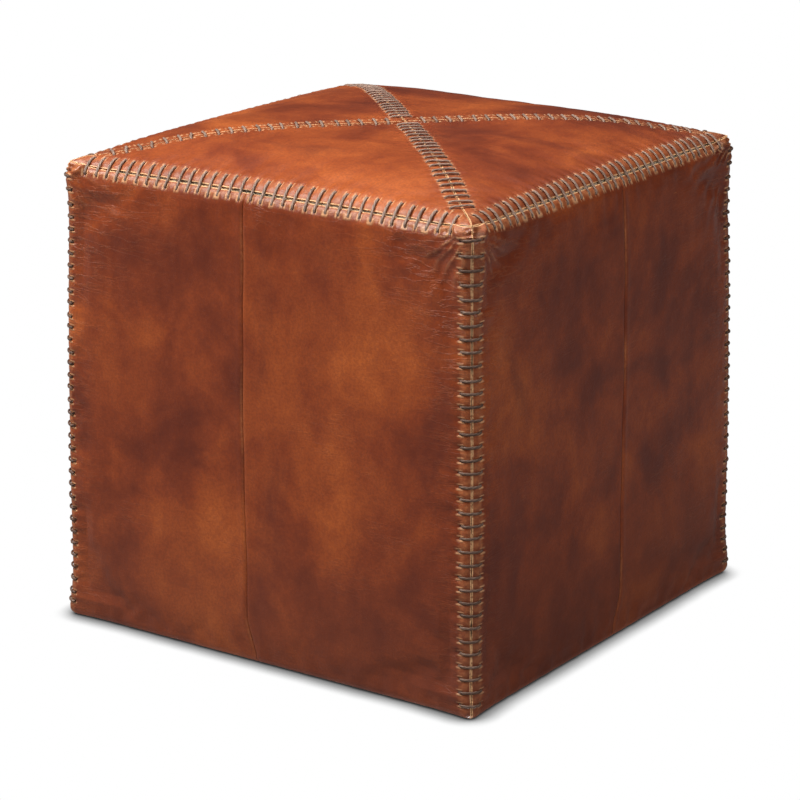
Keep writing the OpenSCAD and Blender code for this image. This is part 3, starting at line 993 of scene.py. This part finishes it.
def zip_stitches():
    """Machine stitches along both zip tapes as one piece: short bowed threads."""
    turn = np.linspace(0, 2 * np.pi, THREAD_SIDES, endpoint=False)
    t = np.linspace(0.06, 0.94, THREAD_RINGS)
    fat = (THREAD_R * np.clip(1.25 - abs(2 * t - 1) ** 6, 0.3, 1))[:, None]
    low = TAPE_LOW - THREAD_BOW * (1 - (2 * t - 1) ** 4) + 0.6 * THREAD_R
    rings = []
    for y in (-STITCH_LINE, STITCH_LINE):
        for i in range(int(2 * ZIP_HALF / THREAD_PITCH)):
            x = (i + t) * THREAD_PITCH - ZIP_HALF
            ring = [x[:, None] + 0 * turn, y - fat * np.cos(turn), low[:, None] + fat * np.sin(turn)]
            rings.append(np.stack(ring, -1).reshape(-1, 3))
    one = tube_faces(THREAD_RINGS, THREAD_SIDES)
    faces = [one + i * THREAD_RINGS * THREAD_SIDES for i in range(len(rings))]
    piece = make_piece("stitches_zip", np.concatenate(rings), np.concatenate(faces))
    stand_in(piece, "zip_stitching")
    return piece


zip_thread = zip_stitches()


# ---------------------------------------------------------------- cloth layers behind the leather
def cloth_sheet(name, outer, inner, node, slot_name, flat, wraps=False, unevenness=0.15 * MM):
    """A thin closed cloth layer between two grids, a little uneven."""
    wobble = (unevenness * middling(outer, 30 * MM))[..., None]
    away = outer - inner
    away = away / np.linalg.norm(away, axis=-1, keepdims=True)
    points, faces = closed_ring(outer, inner) if wraps else closed_grid(outer, inner)
    move = np.concatenate([(away * wobble).reshape(-1, 3)] * 2)
    piece = make_piece(name, points + np.minimum(move, 0.1 * MM), faces)
    piece.data.set_sharp_from_angle(angle=SHARP_TURN)
    stand_in(piece, node)
    return piece


def closed_ring(outer, inner):
    """As closed_grid, for grids whose columns run right round."""
    rows, cols = outer.shape[:2]
    ids = np.arange(rows * cols).reshape(rows, cols)
    beside = np.roll(ids, -1, axis=1)
    skin = np.stack([ids[:-1], beside[:-1], beside[1:], ids[1:]], -1).reshape(-1, 4)
    count = rows * cols
    lining = skin[:, ::-1] + count
    low = np.stack([beside[0], ids[0], ids[0] + count, beside[0] + count], -1)
    high = np.stack([ids[-1], beside[-1], beside[-1] + count, ids[-1] + count], -1)
    points = np.concatenate([outer.reshape(-1, 3), inner.reshape(-1, 3)])
    return points, np.concatenate([skin, lining, low, high])


def seam_strip(face):
    z = np.linspace(FOOT_R + 12 * MM, BROW_Z - 12 * MM, 90)
    x = np.linspace(-TAPE_HALF, TAPE_HALF, 11)
    grid_z, grid_x = np.meshgrid(z, x, indexing="ij")
    grid_x = grid_x + mid_seam(wall_row(z), face, 1)[:, None]
    layers = [
        turned(np.stack([grid_x, depth - half_at(grid_z), grid_z], -1), face)
        for depth in (LEATHER_T + 0.35 * MM, LEATHER_T + 1.1 * MM)
    ]
    flat = (2 * TAPE_HALF, z[-1] - z[0])
    return cloth_sheet(
        "tape_" + FACES[face], *layers, "seam_tape_" + FACES[face], "seam_tape", flat,
        unevenness=0.05 * MM,
    )


def top_height(x, y, depth):
    inset = TOP_HALF - np.maximum(abs(x), abs(y))
    run = np.maximum(BROW_R - inset, 0)
    return BROW_Z + np.sqrt(np.maximum((BROW_R - depth) ** 2 - run**2, 0)) + crown_at(x, y)


def square_layer(half, count, depth):
    x, y = np.meshgrid(np.linspace(-half, half, count), np.linspace(-half, half, count))
    return np.stack([x, y, top_height(x, y, depth)], -1)


def wall_ring(depth, z):
    """Rings of points round the body, at a depth behind the leather."""
    rings = []
    for k in range(4):
        x = np.linspace(-1, 1, 60)[:-1]
        half = half_at(z)[:, None] - depth
        radius = CORNER_R - depth
        run = (half - radius) * x[None, :]
        flat = np.stack([run, -half + 0 * run, z[:, None] + 0 * run], -1)
        turn = np.linspace(0, np.pi / 2, 7)[None, :-1]
        centre = half - radius
        bend = np.stack(
            [centre + radius * np.sin(turn), -centre - radius * np.cos(turn), z[:, None] + 0 * turn], -1
        )
        rings.append(turned(np.concatenate([flat, bend], 1), k))
    return np.concatenate(rings, 1)


def lining_wall():
    z = np.linspace(INNER_Z, BROW_Z, 70)
    outer, inner = wall_ring(LINING_DEPTH, z), wall_ring(LINING_DEPTH + LINING_T, z)
    flat = (8 * half_at(EDGE_H / 2), BROW_Z - INNER_Z)
    return cloth_sheet(
        "lining_cloth_wall", outer, inner, "lining_wall", "lining_cloth", flat, wraps=True
    )


def lining_top():
    outer = square_layer(LINING_TOP_HALF, 90, LINING_DEPTH)
    inner = square_layer(LINING_TOP_HALF, 90, LINING_DEPTH + LINING_T)
    flat = (2 * DOME_SHARE * LINING_TOP_HALF,) * 2
    return cloth_sheet("lining_cloth_top", outer, inner, "lining_top", "lining_cloth", flat)


def lining_base():
    line = np.linspace(-LINING_BASE_HALF, LINING_BASE_HALF, 80)
    x, y = np.meshgrid(line, line)
    upper = np.stack([x, y, INNER_Z + LINING_T + 0 * x], -1)
    lower = np.stack([x, y, INNER_Z + 0 * x], -1)
    flat = (2 * LINING_BASE_HALF,) * 2
    return cloth_sheet("lining_cloth_base", upper, lower, "lining_base", "lining_cloth", flat)


seam_strips = [seam_strip(face) for face in range(4)]
linings = [lining_wall(), lining_top(), lining_base()]


# ---------------------------------------------------------------- filling
def block(name, counts, shape, node, lumps, seed):
    """A closed six-sided piece whose surface shape() maps from a cube, with soft lumps. counts is
    how many cells its grid has each way, and lumps how deep its hollows go."""
    grids = []
    for axis in range(3):
        for end in (-1, 1):
            a, b = (np.linspace(-1, 1, counts[i] + 1) for i in range(3) if i != axis)
            grid_a, grid_b = np.meshgrid(a, b, indexing="ij")
            place = [grid_a, grid_b]
            place.insert(axis, np.full_like(grid_a, end))
            grid = np.stack(place, -1)
            flip = (end > 0) == (axis == 1)
            grids.append(grid[:, ::-1] if flip else grid)
    cube = np.concatenate([g.reshape(-1, 3) for g in grids])
    _, first, ids = np.unique(np.round(cube, 6), axis=0, return_index=True, return_inverse=True)
    ids = ids.reshape(-1)
    quads, start = [], 0
    for grid in grids:
        count = grid.shape[0] * grid.shape[1]
        quads.append(grid_quads(ids[start : start + count].reshape(grid.shape[:2])))
        start += count
    points = shape(cube[first])
    middle = points.mean(0)
    inward = (middle - points) / np.linalg.norm(points - middle, axis=1, keepdims=True)
    lump = Noise(seed)
    depth = lumps * np.clip(0.5 + 0.6 * lump(points, 45 * MM) + 0.3 * lump(points, 17 * MM), 0, 1)
    piece = make_piece(name, points + inward * depth[:, None], np.concatenate(quads))
    stand_in(piece, node)
    return piece


def rounded(cube, half_sizes, radius):
    """Points of a cube's surface moved onto a box with rounded edges, centred on the origin."""
    half_sizes = np.array(half_sizes)
    p = cube * half_sizes
    q = np.clip(p, radius - half_sizes, half_sizes - radius)
    away = p - q
    return q + radius * away / np.maximum(np.linalg.norm(away, axis=1, keepdims=True), 1e-9)


def foam_shape(cube):
    low_z, high_z = FILLING_Z, BROW_Z
    mid_z = (low_z + high_z) / 2
    inset = PAD_DEPTH + WADDING_T + 0.6 * MM
    half = half_at(mid_z) - inset
    p = rounded(cube, (half, half, (high_z - low_z) / 2), 7 * MM)
    p[:, 2] += mid_z
    spread = (half_at(p[:, 2]) - inset) / half
    return p * np.stack([spread, spread, np.ones_like(spread)], -1)


def crown_shape(cube):
    half = TOP_HALF - 8 * MM
    x, y = cube[:, 0] * half, cube[:, 1] * half
    low = BROW_Z + 0.3 * MM
    high = top_height(x, y, PAD_DEPTH)
    return np.stack([x, y, low + (cube[:, 2] + 1) / 2 * (high - low)], -1)


def wadding_shape(face):
    end = CORNER_R + 2 * MM if face % 2 == 0 else PAD_DEPTH + WADDING_T + 0.3 * MM
    mid_z = (FILLING_Z + BROW_Z) / 2

    def shape(cube):
        size = (half_at(mid_z) - end, WADDING_T / 2, (BROW_Z - FILLING_Z) / 2)
        p = rounded(cube, size, 4 * MM)
        p[:, 2] += mid_z
        half = half_at(p[:, 2])
        x = p[:, 0] * (half - end) / size[0]
        y = p[:, 1] + PAD_DEPTH + WADDING_T / 2 - half
        return turned(np.stack([x, y, p[:, 2]], -1), face)

    return shape


def side_wadding(face):
    name = "wadding_" + FACES[face]
    shape = wadding_shape(face)
    return block("side_" + name, (70, 8, 70), shape, name, 2 * MM, 53 + face)


foam = block("foam", (60, 60, 60), foam_shape, "foam_core", 0.8 * MM, 51)
waddings = [
    block("crown_wadding", (80, 80, 6), crown_shape, "crown_pad", 1 * MM, 52),
    *(side_wadding(face) for face in range(4)),
]


# ---------------------------------------------------------------- zip
def softened(node, width):
    """The CAD part itself, with its edges broken."""
    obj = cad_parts[node]
    bevel = obj.modifiers.new("soft_edges", "BEVEL")
    bevel.width = width
    bevel.segments = 2
    bevel.limit_method = "ANGLE"
    return obj


RIBBON_NEAR = 1.8 * MM
RIBBON_FAR = 18 * MM
RIBBON_PAST = 8 * MM
EDGE_BREAKS = {
    "zip_teeth_front": 0.25 * MM,
    "zip_teeth_back": 0.25 * MM,
    "zip_stops": 0.4 * MM,
    "zip_slider": 0.2 * MM,
    "zip_pull_tab": 0.25 * MM,
}


def zip_ribbon(where, side):
    """The cloth tape on one side of the zip."""
    reach = ZIP_HALF + RIBBON_PAST
    along = np.linspace(-reach, reach, 160)
    grid_x, grid_y = np.meshgrid(along, np.linspace(RIBBON_NEAR, RIBBON_FAR, 12) * side)
    layers = [
        np.stack([grid_x, grid_y, ZIP_MID_Z + h * MM + 0 * grid_x], -1) for h in (-0.3, 0.3)
    ]
    flat = (2 * reach, RIBBON_FAR - RIBBON_NEAR)
    return cloth_sheet(
        "zip_ribbon_" + where, *layers, "zip_tape_" + where, "zip_tape", flat, unevenness=0.04 * MM
    )


tape_pieces = [zip_ribbon("front", -1), zip_ribbon("back", 1)]
brass_parts = [softened(node, width) for node, width in EDGE_BREAKS.items()]


# ---------------------------------------------------------------- materials
class Shader:
    """A node material: a few short words for the nodes that every finish here is made of."""

    def __init__(self, name, **constants):
        self.material = bpy.data.materials.new(name)
        self.material.use_nodes = True
        self.tree = self.material.node_tree
        self.surface = self.tree.nodes["Principled BSDF"]
        self.coordinates = self.node("ShaderNodeTexCoord").outputs["Object"]
        for socket, value in constants.items():
            self.surface.inputs[socket.replace("_", " ")].default_value = value

    def node(self, kind, inputs=None, **settings):
        made = self.tree.nodes.new(kind)
        for key, value in settings.items():
            setattr(made, key, value)
        for key, value in (inputs or {}).items():
            self.put(made.inputs[key], value)
        return made

    def put(self, socket, value):
        if isinstance(value, bpy.types.NodeSocket):
            self.tree.links.new(value, socket)
        else:
            socket.default_value = value

    def stretched(self, scale):
        made = self.node("ShaderNodeVectorMath", operation="MULTIPLY")
        self.put(made.inputs[0], self.coordinates)
        made.inputs[1].default_value = scale
        return made.outputs[0]

    def noise(self, scale, detail=3, stretch=None, w=0.0, distortion=0.0, roughness=0.55):
        made = self.node("ShaderNodeTexNoise", noise_dimensions="4D")
        self.put(made.inputs["Vector"], self.stretched(stretch) if stretch else self.coordinates)
        self.put(made.inputs["W"], w)
        made.inputs["Scale"].default_value = scale
        made.inputs["Detail"].default_value = detail
        made.inputs["Roughness"].default_value = roughness
        made.inputs["Distortion"].default_value = distortion
        return made.outputs["Fac"]

    def cells(self, scale, feature="F1", stretch=None):
        made = self.node("ShaderNodeTexVoronoi", feature=feature)
        self.put(made.inputs["Vector"], self.stretched(stretch) if stretch else self.coordinates)
        made.inputs["Scale"].default_value = scale
        return made.outputs["Distance"]

    def math(self, operation, a, b=0.0, clamp=False):
        made = self.node("ShaderNodeMath", operation=operation, use_clamp=clamp)
        self.put(made.inputs[0], a)
        self.put(made.inputs[1], b)
        return made.outputs[0]

    def times(self, a, b):
        return self.math("MULTIPLY", a, b)

    def plus(self, a, b, clamp=False):
        return self.math("ADD", a, b, clamp)

    def span(self, value, low, high, out_low=0.0, out_high=1.0):
        made = self.node("ShaderNodeMapRange", interpolation_type="SMOOTHSTEP")
        for key, number in (("Value", value), ("From Min", low), ("From Max", high)):
            self.put(made.inputs[key], number)
        made.inputs["To Min"].default_value = out_low
        made.inputs["To Max"].default_value = out_high
        return made.outputs["Result"]

    def mix(self, share, a, b, blend="MIX"):
        made = self.node("ShaderNodeMix", data_type="RGBA", blend_type=blend)
        for index, value in ((0, share), (6, a), (7, b)):
            self.put(made.inputs[index], rgba(value))
        return made.outputs[2]

    def tint(self, colour, over, share, strength):
        """One colour laid over another where share is high."""
        return self.mix(self.times(share, strength), colour, over)

    def ramp(self, value, stops):
        made = self.node("ShaderNodeValToRGB")
        self.put(made.inputs[0], value)
        elements = made.color_ramp.elements
        for place, colour in stops[1:-1]:
            elements.new(place)
        for element, (place, colour) in zip(elements, stops):
            element.position = place
            element.color = rgba(colour)
        return made.outputs[0]

    def attribute(self, name):
        return self.node("ShaderNodeAttribute", attribute_name=name).outputs["Fac"]

    def bump(self, height, distance, strength=1.0, normal=None):
        made = self.node("ShaderNodeBump")
        self.put(made.inputs["Height"], height)
        made.inputs["Distance"].default_value = distance
        made.inputs["Strength"].default_value = strength
        if normal is not None:
            self.put(made.inputs["Normal"], normal)
        return made.outputs["Normal"]

    def finish(self, colour, roughness, normal=None):
        self.put(self.surface.inputs["Base Color"], rgba(colour))
        self.put(self.surface.inputs["Roughness"], roughness)
        if normal is not None:
            self.put(self.surface.inputs["Normal"], normal)
        return self.material


def rgba(value):
    return (*value, 1.0) if isinstance(value, tuple) and len(value) == 3 else value


HIDE_STOPS = [
    (0.10, (0.082, 0.014, 0.007)),
    (0.34, (0.158, 0.029, 0.011)),
    (0.50, (0.255, 0.048, 0.014)),
    (0.66, (0.370, 0.078, 0.018)),
    (0.88, (0.56, 0.135, 0.028)),
]
DARK_STAIN = (0.100, 0.022, 0.015)
PALE_TAN = (0.60, 0.215, 0.080)
# Painted highlight colour, for the glints on fold crests and on the lips beside the cords.
PAINTED_GLINT = (0.80, 0.42, 0.21)
CUT_CREAM = (0.90, 0.52, 0.26)
LOW_DARK_TINT = (0.150, 0.052, 0.032)
# Painted shadow colour, for the holes and the seam gaps.
PAINTED_SHADOW = (0.012, 0.006, 0.004)


def leather(name, pull):
    """Waxed leather. pull stretches its streaks, along the way the hide was pulled."""
    s = Shader(name, Coat_Roughness=0.18, Specular_IOR_Level=0.20)
    hide = s.attribute("hide")
    broad_cloud = s.noise(4.5, 3, w=hide, distortion=0.5)
    cloud = s.noise(13, 5, w=hide, distortion=0.9)
    streak = s.noise(26, 4, stretch=pull, w=hide, distortion=0.4)
    small = s.noise(75, 5, w=hide)
    value = broad_cloud
    for layer, share in ((cloud, 0.75), (streak, 0.3), (small, 0.22)):
        value = s.plus(value, s.times(layer, share))
    value = s.math("SUBTRACT", s.plus(value, s.attribute("tone")), 0.62)
    colour = s.ramp(value, HIDE_STOPS)
    stain = s.noise(8, 5, stretch=pull, w=s.plus(hide, 7.3), distortion=1.1)
    colour = s.mix(s.span(stain, 0.53, 0.74, 0, 0.55), colour, DARK_STAIN)

    fold = s.noise(52, 4, stretch=(0.45, 0.45, 2.6), w=hide, distortion=0.5)
    ridge = s.span(s.math("ABSOLUTE", s.math("SUBTRACT", fold, 0.5)), 0.0, 0.03, 1.0, 0.0)
    patch = s.span(s.noise(11, 2, w=s.plus(hide, 3.1)), 0.56, 0.70)
    crease = s.math("MAXIMUM", s.attribute("crease"), s.times(patch, 0.5))
    wrinkle = s.times(ridge, crease)
    colour = s.tint(colour, PALE_TAN, wrinkle, 0.13)
    # Painted highlight: pale glints on the fold crests near the top corners.
    crest = s.times(s.attribute("crest"), s.span(small, 0.35, 0.65))
    colour = s.tint(colour, PAINTED_GLINT, crest, 0.75)

    # Pale band by the lacing, in patches: partly wear, partly painted highlight.
    paleness = s.span(s.noise(170, 4, w=hide), 0.32, 0.62, 0.25, 1.0)
    pale = s.times(s.attribute("pale"), paleness)
    colour = s.tint(colour, PALE_TAN, pale, 0.85)
    # Painted highlight: bright lips beside each cord end, by its hole, where the leather rises.
    beside = s.attribute("beside_cord")
    lip = s.times(s.span(beside, 0.42, 0.60), s.span(beside, 0.70, 0.84, 1.0, 0.0))
    lip = s.times(lip, s.span(s.attribute("by_hole"), 0.28, 0.75))
    colour = s.mix(s.times(lip, s.span(small, 0.3, 0.6, 0.3, 0.9)), colour, PAINTED_GLINT)

    grain_shade = s.span(s.noise(430, 3, w=hide), 0.35, 0.65, 0.30, 0.0)
    colour = s.mix(grain_shade, colour, DARK_STAIN)
    pore = s.cells(1050)
    pit = s.times(s.span(pore, 0.12, 0.3, 1.0, 0.0), s.span(small, 0.40, 0.62))
    colour = s.tint(colour, DARK_STAIN, pit, 0.4)
    scratch = s.noise(90, 2, stretch=(0.35, 0.35, 6.0), w=hide, distortion=0.6)
    scratch = s.times(s.span(scratch, 0.73, 0.78), s.span(cloud, 0.45, 0.6))
    colour = s.tint(colour, PALE_TAN, scratch, 0.5)
    # Darker towards the floor, and on the base.
    colour = s.tint(colour, LOW_DARK_TINT, s.attribute("grime"), 0.45)
    cut = s.span(s.attribute("cut"), 0.25, 0.7)
    torn = s.span(s.noise(520, 3, w=hide), 0.36, 0.52, 0.2, 1.0)
    colour = s.mix(s.times(cut, torn), colour, CUT_CREAM)
    # Painted shadow: patches of the cut edges are darkened where the gap in the seam would be in shade.
    gap_shadow = s.span(s.noise(15, 2, w=s.plus(hide, 5.7)), 0.54, 0.60, 0.0, 0.85)
    colour = s.mix(s.times(s.span(s.attribute("cut"), 0.5, 0.9), gap_shadow), colour, PAINTED_SHADOW)
    # Painted shadow: the holes are darkened nearly to black.
    colour = s.mix(s.span(s.attribute("hole"), 0.4, 0.85), colour, PAINTED_SHADOW)

    roughness = s.plus(s.times(cloud, 0.24), 0.24)
    roughness = s.plus(roughness, s.times(s.attribute("cut"), 0.3), clamp=True)
    grain = s.cells(620, "SMOOTH_F1")
    normal = s.bump(grain, 0.00014, 0.45)
    normal = s.bump(small, 0.0009, 0.4, normal)
    normal = s.bump(s.noise(210, 4, w=hide), 0.0005, 0.45, normal)
    normal = s.bump(wrinkle, 0.0004, 0.6, normal)
    normal = s.bump(lip, 0.0006, 0.7, normal)
    normal = s.bump(pit, -0.0002, 0.6, normal)
    polish = s.times(crease, crease)
    s.put(s.surface.inputs["Coat Weight"], s.plus(s.times(polish, 0.22), 0.08))
    return s.finish(colour, roughness, normal)


def cord_finish():
    """Waxed cotton cord, with painted shade where its plies meet."""
    s = Shader("waxed_cord", Coat_Weight=0.08, Coat_Roughness=0.35, Specular_IOR_Level=0.25)
    shade = s.times(s.attribute("shade"), 0.5)
    value = s.plus(shade, s.times(s.noise(260, 3), 0.6))
    colour = s.ramp(
        value,
        [(0.2, (0.095, 0.048, 0.032)), (0.5, (0.210, 0.124, 0.088)), (0.85, (0.45, 0.30, 0.23))],
    )
    # Painted shade: the valleys between the plies are darkened.
    colour = s.tint(colour, (0.035, 0.021, 0.016), s.attribute("valley"), 0.6)
    fibre = s.noise(1400, 2, stretch=(1, 1, 0.5))
    return s.finish(colour, s.span(fibre, 0.3, 0.7, 0.42, 0.62), s.bump(fibre, 0.0003, 0.6))


def cloth_finish(name, colour, dark, threads_per_metre, roughness=0.85):
    """Plain woven cloth."""
    s = Shader(name, Sheen_Weight=0.15)
    waves = []
    for axis in ("X", "Y", "Z"):
        wave = s.node("ShaderNodeTexWave", bands_direction=axis, wave_profile="SIN")
        wave.inputs["Scale"].default_value = threads_per_metre / 20
        wave.inputs["Distortion"].default_value = 0.4
        s.put(wave.inputs["Vector"], s.coordinates)
        waves.append(wave.outputs["Fac"])
    weave = s.times(s.plus(s.plus(waves[0], waves[1]), waves[2]), 0.33)
    slub = s.noise(220, 4)
    tint = s.mix(s.span(slub, 0.3, 0.7), colour, dark)
    tint = s.mix(s.times(s.span(weave, 0.25, 0.7, 1.0, 0.0), 0.45), tint, dark)
    return s.finish(tint, roughness, s.bump(s.plus(weave, slub), 0.0004, 0.7))


def foam_finish():
    s = Shader("foam")
    cell = s.cells(900, "SMOOTH_F1")
    colour = s.mix(s.span(cell, 0.2, 0.6), (0.72, 0.62, 0.40), (0.82, 0.74, 0.54))
    colour = s.tint(colour, (0.76, 0.58, 0.30), s.noise(8, 3), 0.4)
    return s.finish(colour, 0.9, s.bump(cell, 0.0008, 0.8))


def wadding_finish():
    s = Shader("wadding", Sheen_Weight=0.3)
    fibre = s.noise(160, 6, distortion=2.5)
    colour = s.mix(s.span(fibre, 0.3, 0.7), (0.62, 0.58, 0.50), (0.86, 0.83, 0.76))
    return s.finish(colour, 0.95, s.bump(fibre, 0.003, 0.8))


def brass_finish():
    s = Shader("zip_brass", Metallic=1.0)
    tarnish = s.noise(180, 5)
    scratch = s.noise(700, 2, stretch=(0.1, 1, 1))
    colour = s.mix(s.span(tarnish, 0.4, 0.65), (0.62, 0.43, 0.17), (0.33, 0.20, 0.08))
    roughness = s.plus(s.times(tarnish, 0.35), s.times(scratch, 0.2))
    return s.finish(colour, roughness, s.bump(scratch, 0.0001, 0.5))


def paint(material, *objects):
    for obj in objects:
        obj.data.materials.clear()
        obj.data.materials.append(material)


side_leather = leather("leather_sides", pull=(1.2, 1.2, 0.6))
top_leather = leather("leather_top", pull=(0.6, 1.4, 1.0))
paint(side_leather, *(panel.piece for panel in sides.values()))
paint(top_leather, *(panel.piece for panel in tops))
paint(side_leather, *bases)
paint(cord_finish(), *cords)
canvas = cloth_finish("canvas", (0.66, 0.58, 0.44), (0.45, 0.37, 0.26), 900)
tape_cloth = cloth_finish("seam_tape", (0.62, 0.52, 0.38), (0.40, 0.31, 0.21), 1400)
ribbon = cloth_finish("zip_ribbon", (0.10, 0.055, 0.035), (0.035, 0.018, 0.012), 1600)
thread_cloth = cloth_finish("thread", (0.30, 0.16, 0.09), (0.15, 0.07, 0.04), 3000)
paint(tape_cloth, *seam_strips)
paint(canvas, *linings)
paint(ribbon, *tape_pieces)
paint(thread_cloth, zip_thread)
paint(foam_finish(), foam)
paint(wadding_finish(), *waddings)
paint(brass_finish(), *brass_parts)


# ---------------------------------------------------------------- floor, light and camera
FLOOR_BOUNCE = (0.2, 0.2, 0.2)
# Painted contact shadow: the floor's glow, set by ambient occlusion within this reach.
CONTACT_REACH = 0.022
CONTACT_STOPS = [(0.2, (0.03, 0.03, 0.03)), (0.55, (0.36, 0.36, 0.36)), (0.93, (1.0, 1.0, 1.0))]


def seen_only(tree, shown, else_shown):
    """A shader that the camera sees as one thing and the light bounces off as another."""
    made = tree.nodes.new("ShaderNodeMixShader")
    path = tree.nodes.new("ShaderNodeLightPath")
    tree.links.new(path.outputs["Is Camera Ray"], made.inputs[0])
    tree.links.new(else_shown, made.inputs[1])
    tree.links.new(shown, made.inputs[2])
    return made.outputs[0]


def floor_finish():
    """Pale studio floor, which glows white to the camera but for a painted contact shadow, from ambient
    occlusion, where something touches it. From below it isn't seen, so that the underside can be."""
    s = Shader("studio_floor")
    s.finish(FLOOR_BOUNCE, 0.9)
    touch = s.node("ShaderNodeAmbientOcclusion", samples=24)
    touch.inputs["Distance"].default_value = CONTACT_REACH
    glow = s.node("ShaderNodeEmission")
    s.put(glow.inputs["Color"], s.ramp(touch.outputs["AO"], CONTACT_STOPS))
    from_above = seen_only(s.tree, glow.outputs[0], s.surface.outputs[0])
    sides_seen = s.node("ShaderNodeMixShader")
    s.put(sides_seen.inputs[0], s.node("ShaderNodeNewGeometry").outputs["Backfacing"])
    s.put(sides_seen.inputs[1], from_above)
    s.put(sides_seen.inputs[2], s.node("ShaderNodeBsdfTransparent").outputs[0])
    s.put(s.tree.nodes["Material Output"].inputs["Surface"], sides_seen.outputs[0])
    return s.material


FLOOR_HALF = 8.0
floor = make_piece(
    "studio_floor",
    np.array([(-1, -1, 0), (1, -1, 0), (1, 1, 0), (-1, 1, 0)]) * FLOOR_HALF,
    np.array([[0, 1, 2, 3]]),
)
paint(floor_finish(), floor)

CAMERA_AZIMUTH = 34.73
CAMERA_ELEVATION = 17.02
CAMERA_DISTANCE = 2.8636
CAMERA_LENS = 135
TARGET = Vector((-0.0037, -0.0026, 0.1953))


def aim(obj, azimuth, elevation, distance):
    """Puts a light or the camera at a distance round the object, in degrees, facing its middle."""
    turn, rise = math.radians(azimuth), math.radians(elevation)
    away = Vector(
        (math.sin(turn) * math.cos(rise), -math.cos(turn) * math.cos(rise), math.sin(rise))
    )
    obj.location = TARGET + away * distance
    obj.rotation_euler = (-away).to_track_quat("-Z", "Y").to_euler()
    bpy.context.scene.collection.objects.link(obj)


KEY_TINT = (1, 0.985, 0.96)


def area_light(name, azimuth, elevation, distance, size, power, colour=(1, 1, 1)):
    data = bpy.data.lights.new(name, "AREA")
    data.shape = "DISK"
    data.size = size
    data.energy = power
    data.color = colour
    light = bpy.data.objects.new(name, data)
    aim(light, azimuth, elevation, distance)
    return light


area_light("key", -40, 47, 3.2, 1.8, 106, KEY_TINT)
area_light("top_softbox", -70, 82, 3.0, 1.8, 26)
area_light("right_fill", 78, 24, 4.0, 2.4, 40)
underside_light = area_light("underside", 0, -90, 3.0, 0.5, 55)
not_blocking = bpy.data.collections.new("lets_underside_light_through")
not_blocking.objects.link(floor)
not_blocking.collection_objects[0].light_linking.link_state = "EXCLUDE"
underside_light.light_linking.blocker_collection = not_blocking

SKY_GLOW = {"From Min": 0.55, "From Max": 1.0, "To Min": 0.035, "To Max": 1.3}


def build_world():
    """White to the camera. To everything else dark low down and bright overhead."""
    world = bpy.data.worlds.new("studio")
    world.use_nodes = True
    tree = world.node_tree
    backdrop = tree.nodes["Background"]
    sky = tree.nodes.new("ShaderNodeBackground")
    for background in (backdrop, sky):
        background.inputs["Color"].default_value = (1, 1, 1, 1)
    direction = tree.nodes.new("ShaderNodeTexCoord")
    height = tree.nodes.new("ShaderNodeSeparateXYZ")
    glow = tree.nodes.new("ShaderNodeMapRange")
    for key, value in SKY_GLOW.items():
        glow.inputs[key].default_value = value
    tree.links.new(direction.outputs["Generated"], height.inputs[0])
    tree.links.new(height.outputs["Z"], glow.inputs["Value"])
    tree.links.new(glow.outputs["Result"], sky.inputs["Strength"])
    seen = seen_only(tree, backdrop.outputs[0], sky.outputs[0])
    tree.links.new(seen, tree.nodes["World Output"].inputs["Surface"])
    return world


bpy.context.scene.world = build_world()

camera_data = bpy.data.cameras.new("camera")
camera_data.lens = CAMERA_LENS
camera_data.sensor_width = 36
camera = bpy.data.objects.new("camera", camera_data)
aim(camera, CAMERA_AZIMUTH, CAMERA_ELEVATION, CAMERA_DISTANCE)
bpy.context.scene.camera = camera
bpy.context.scene.view_settings.view_transform = "Standard"
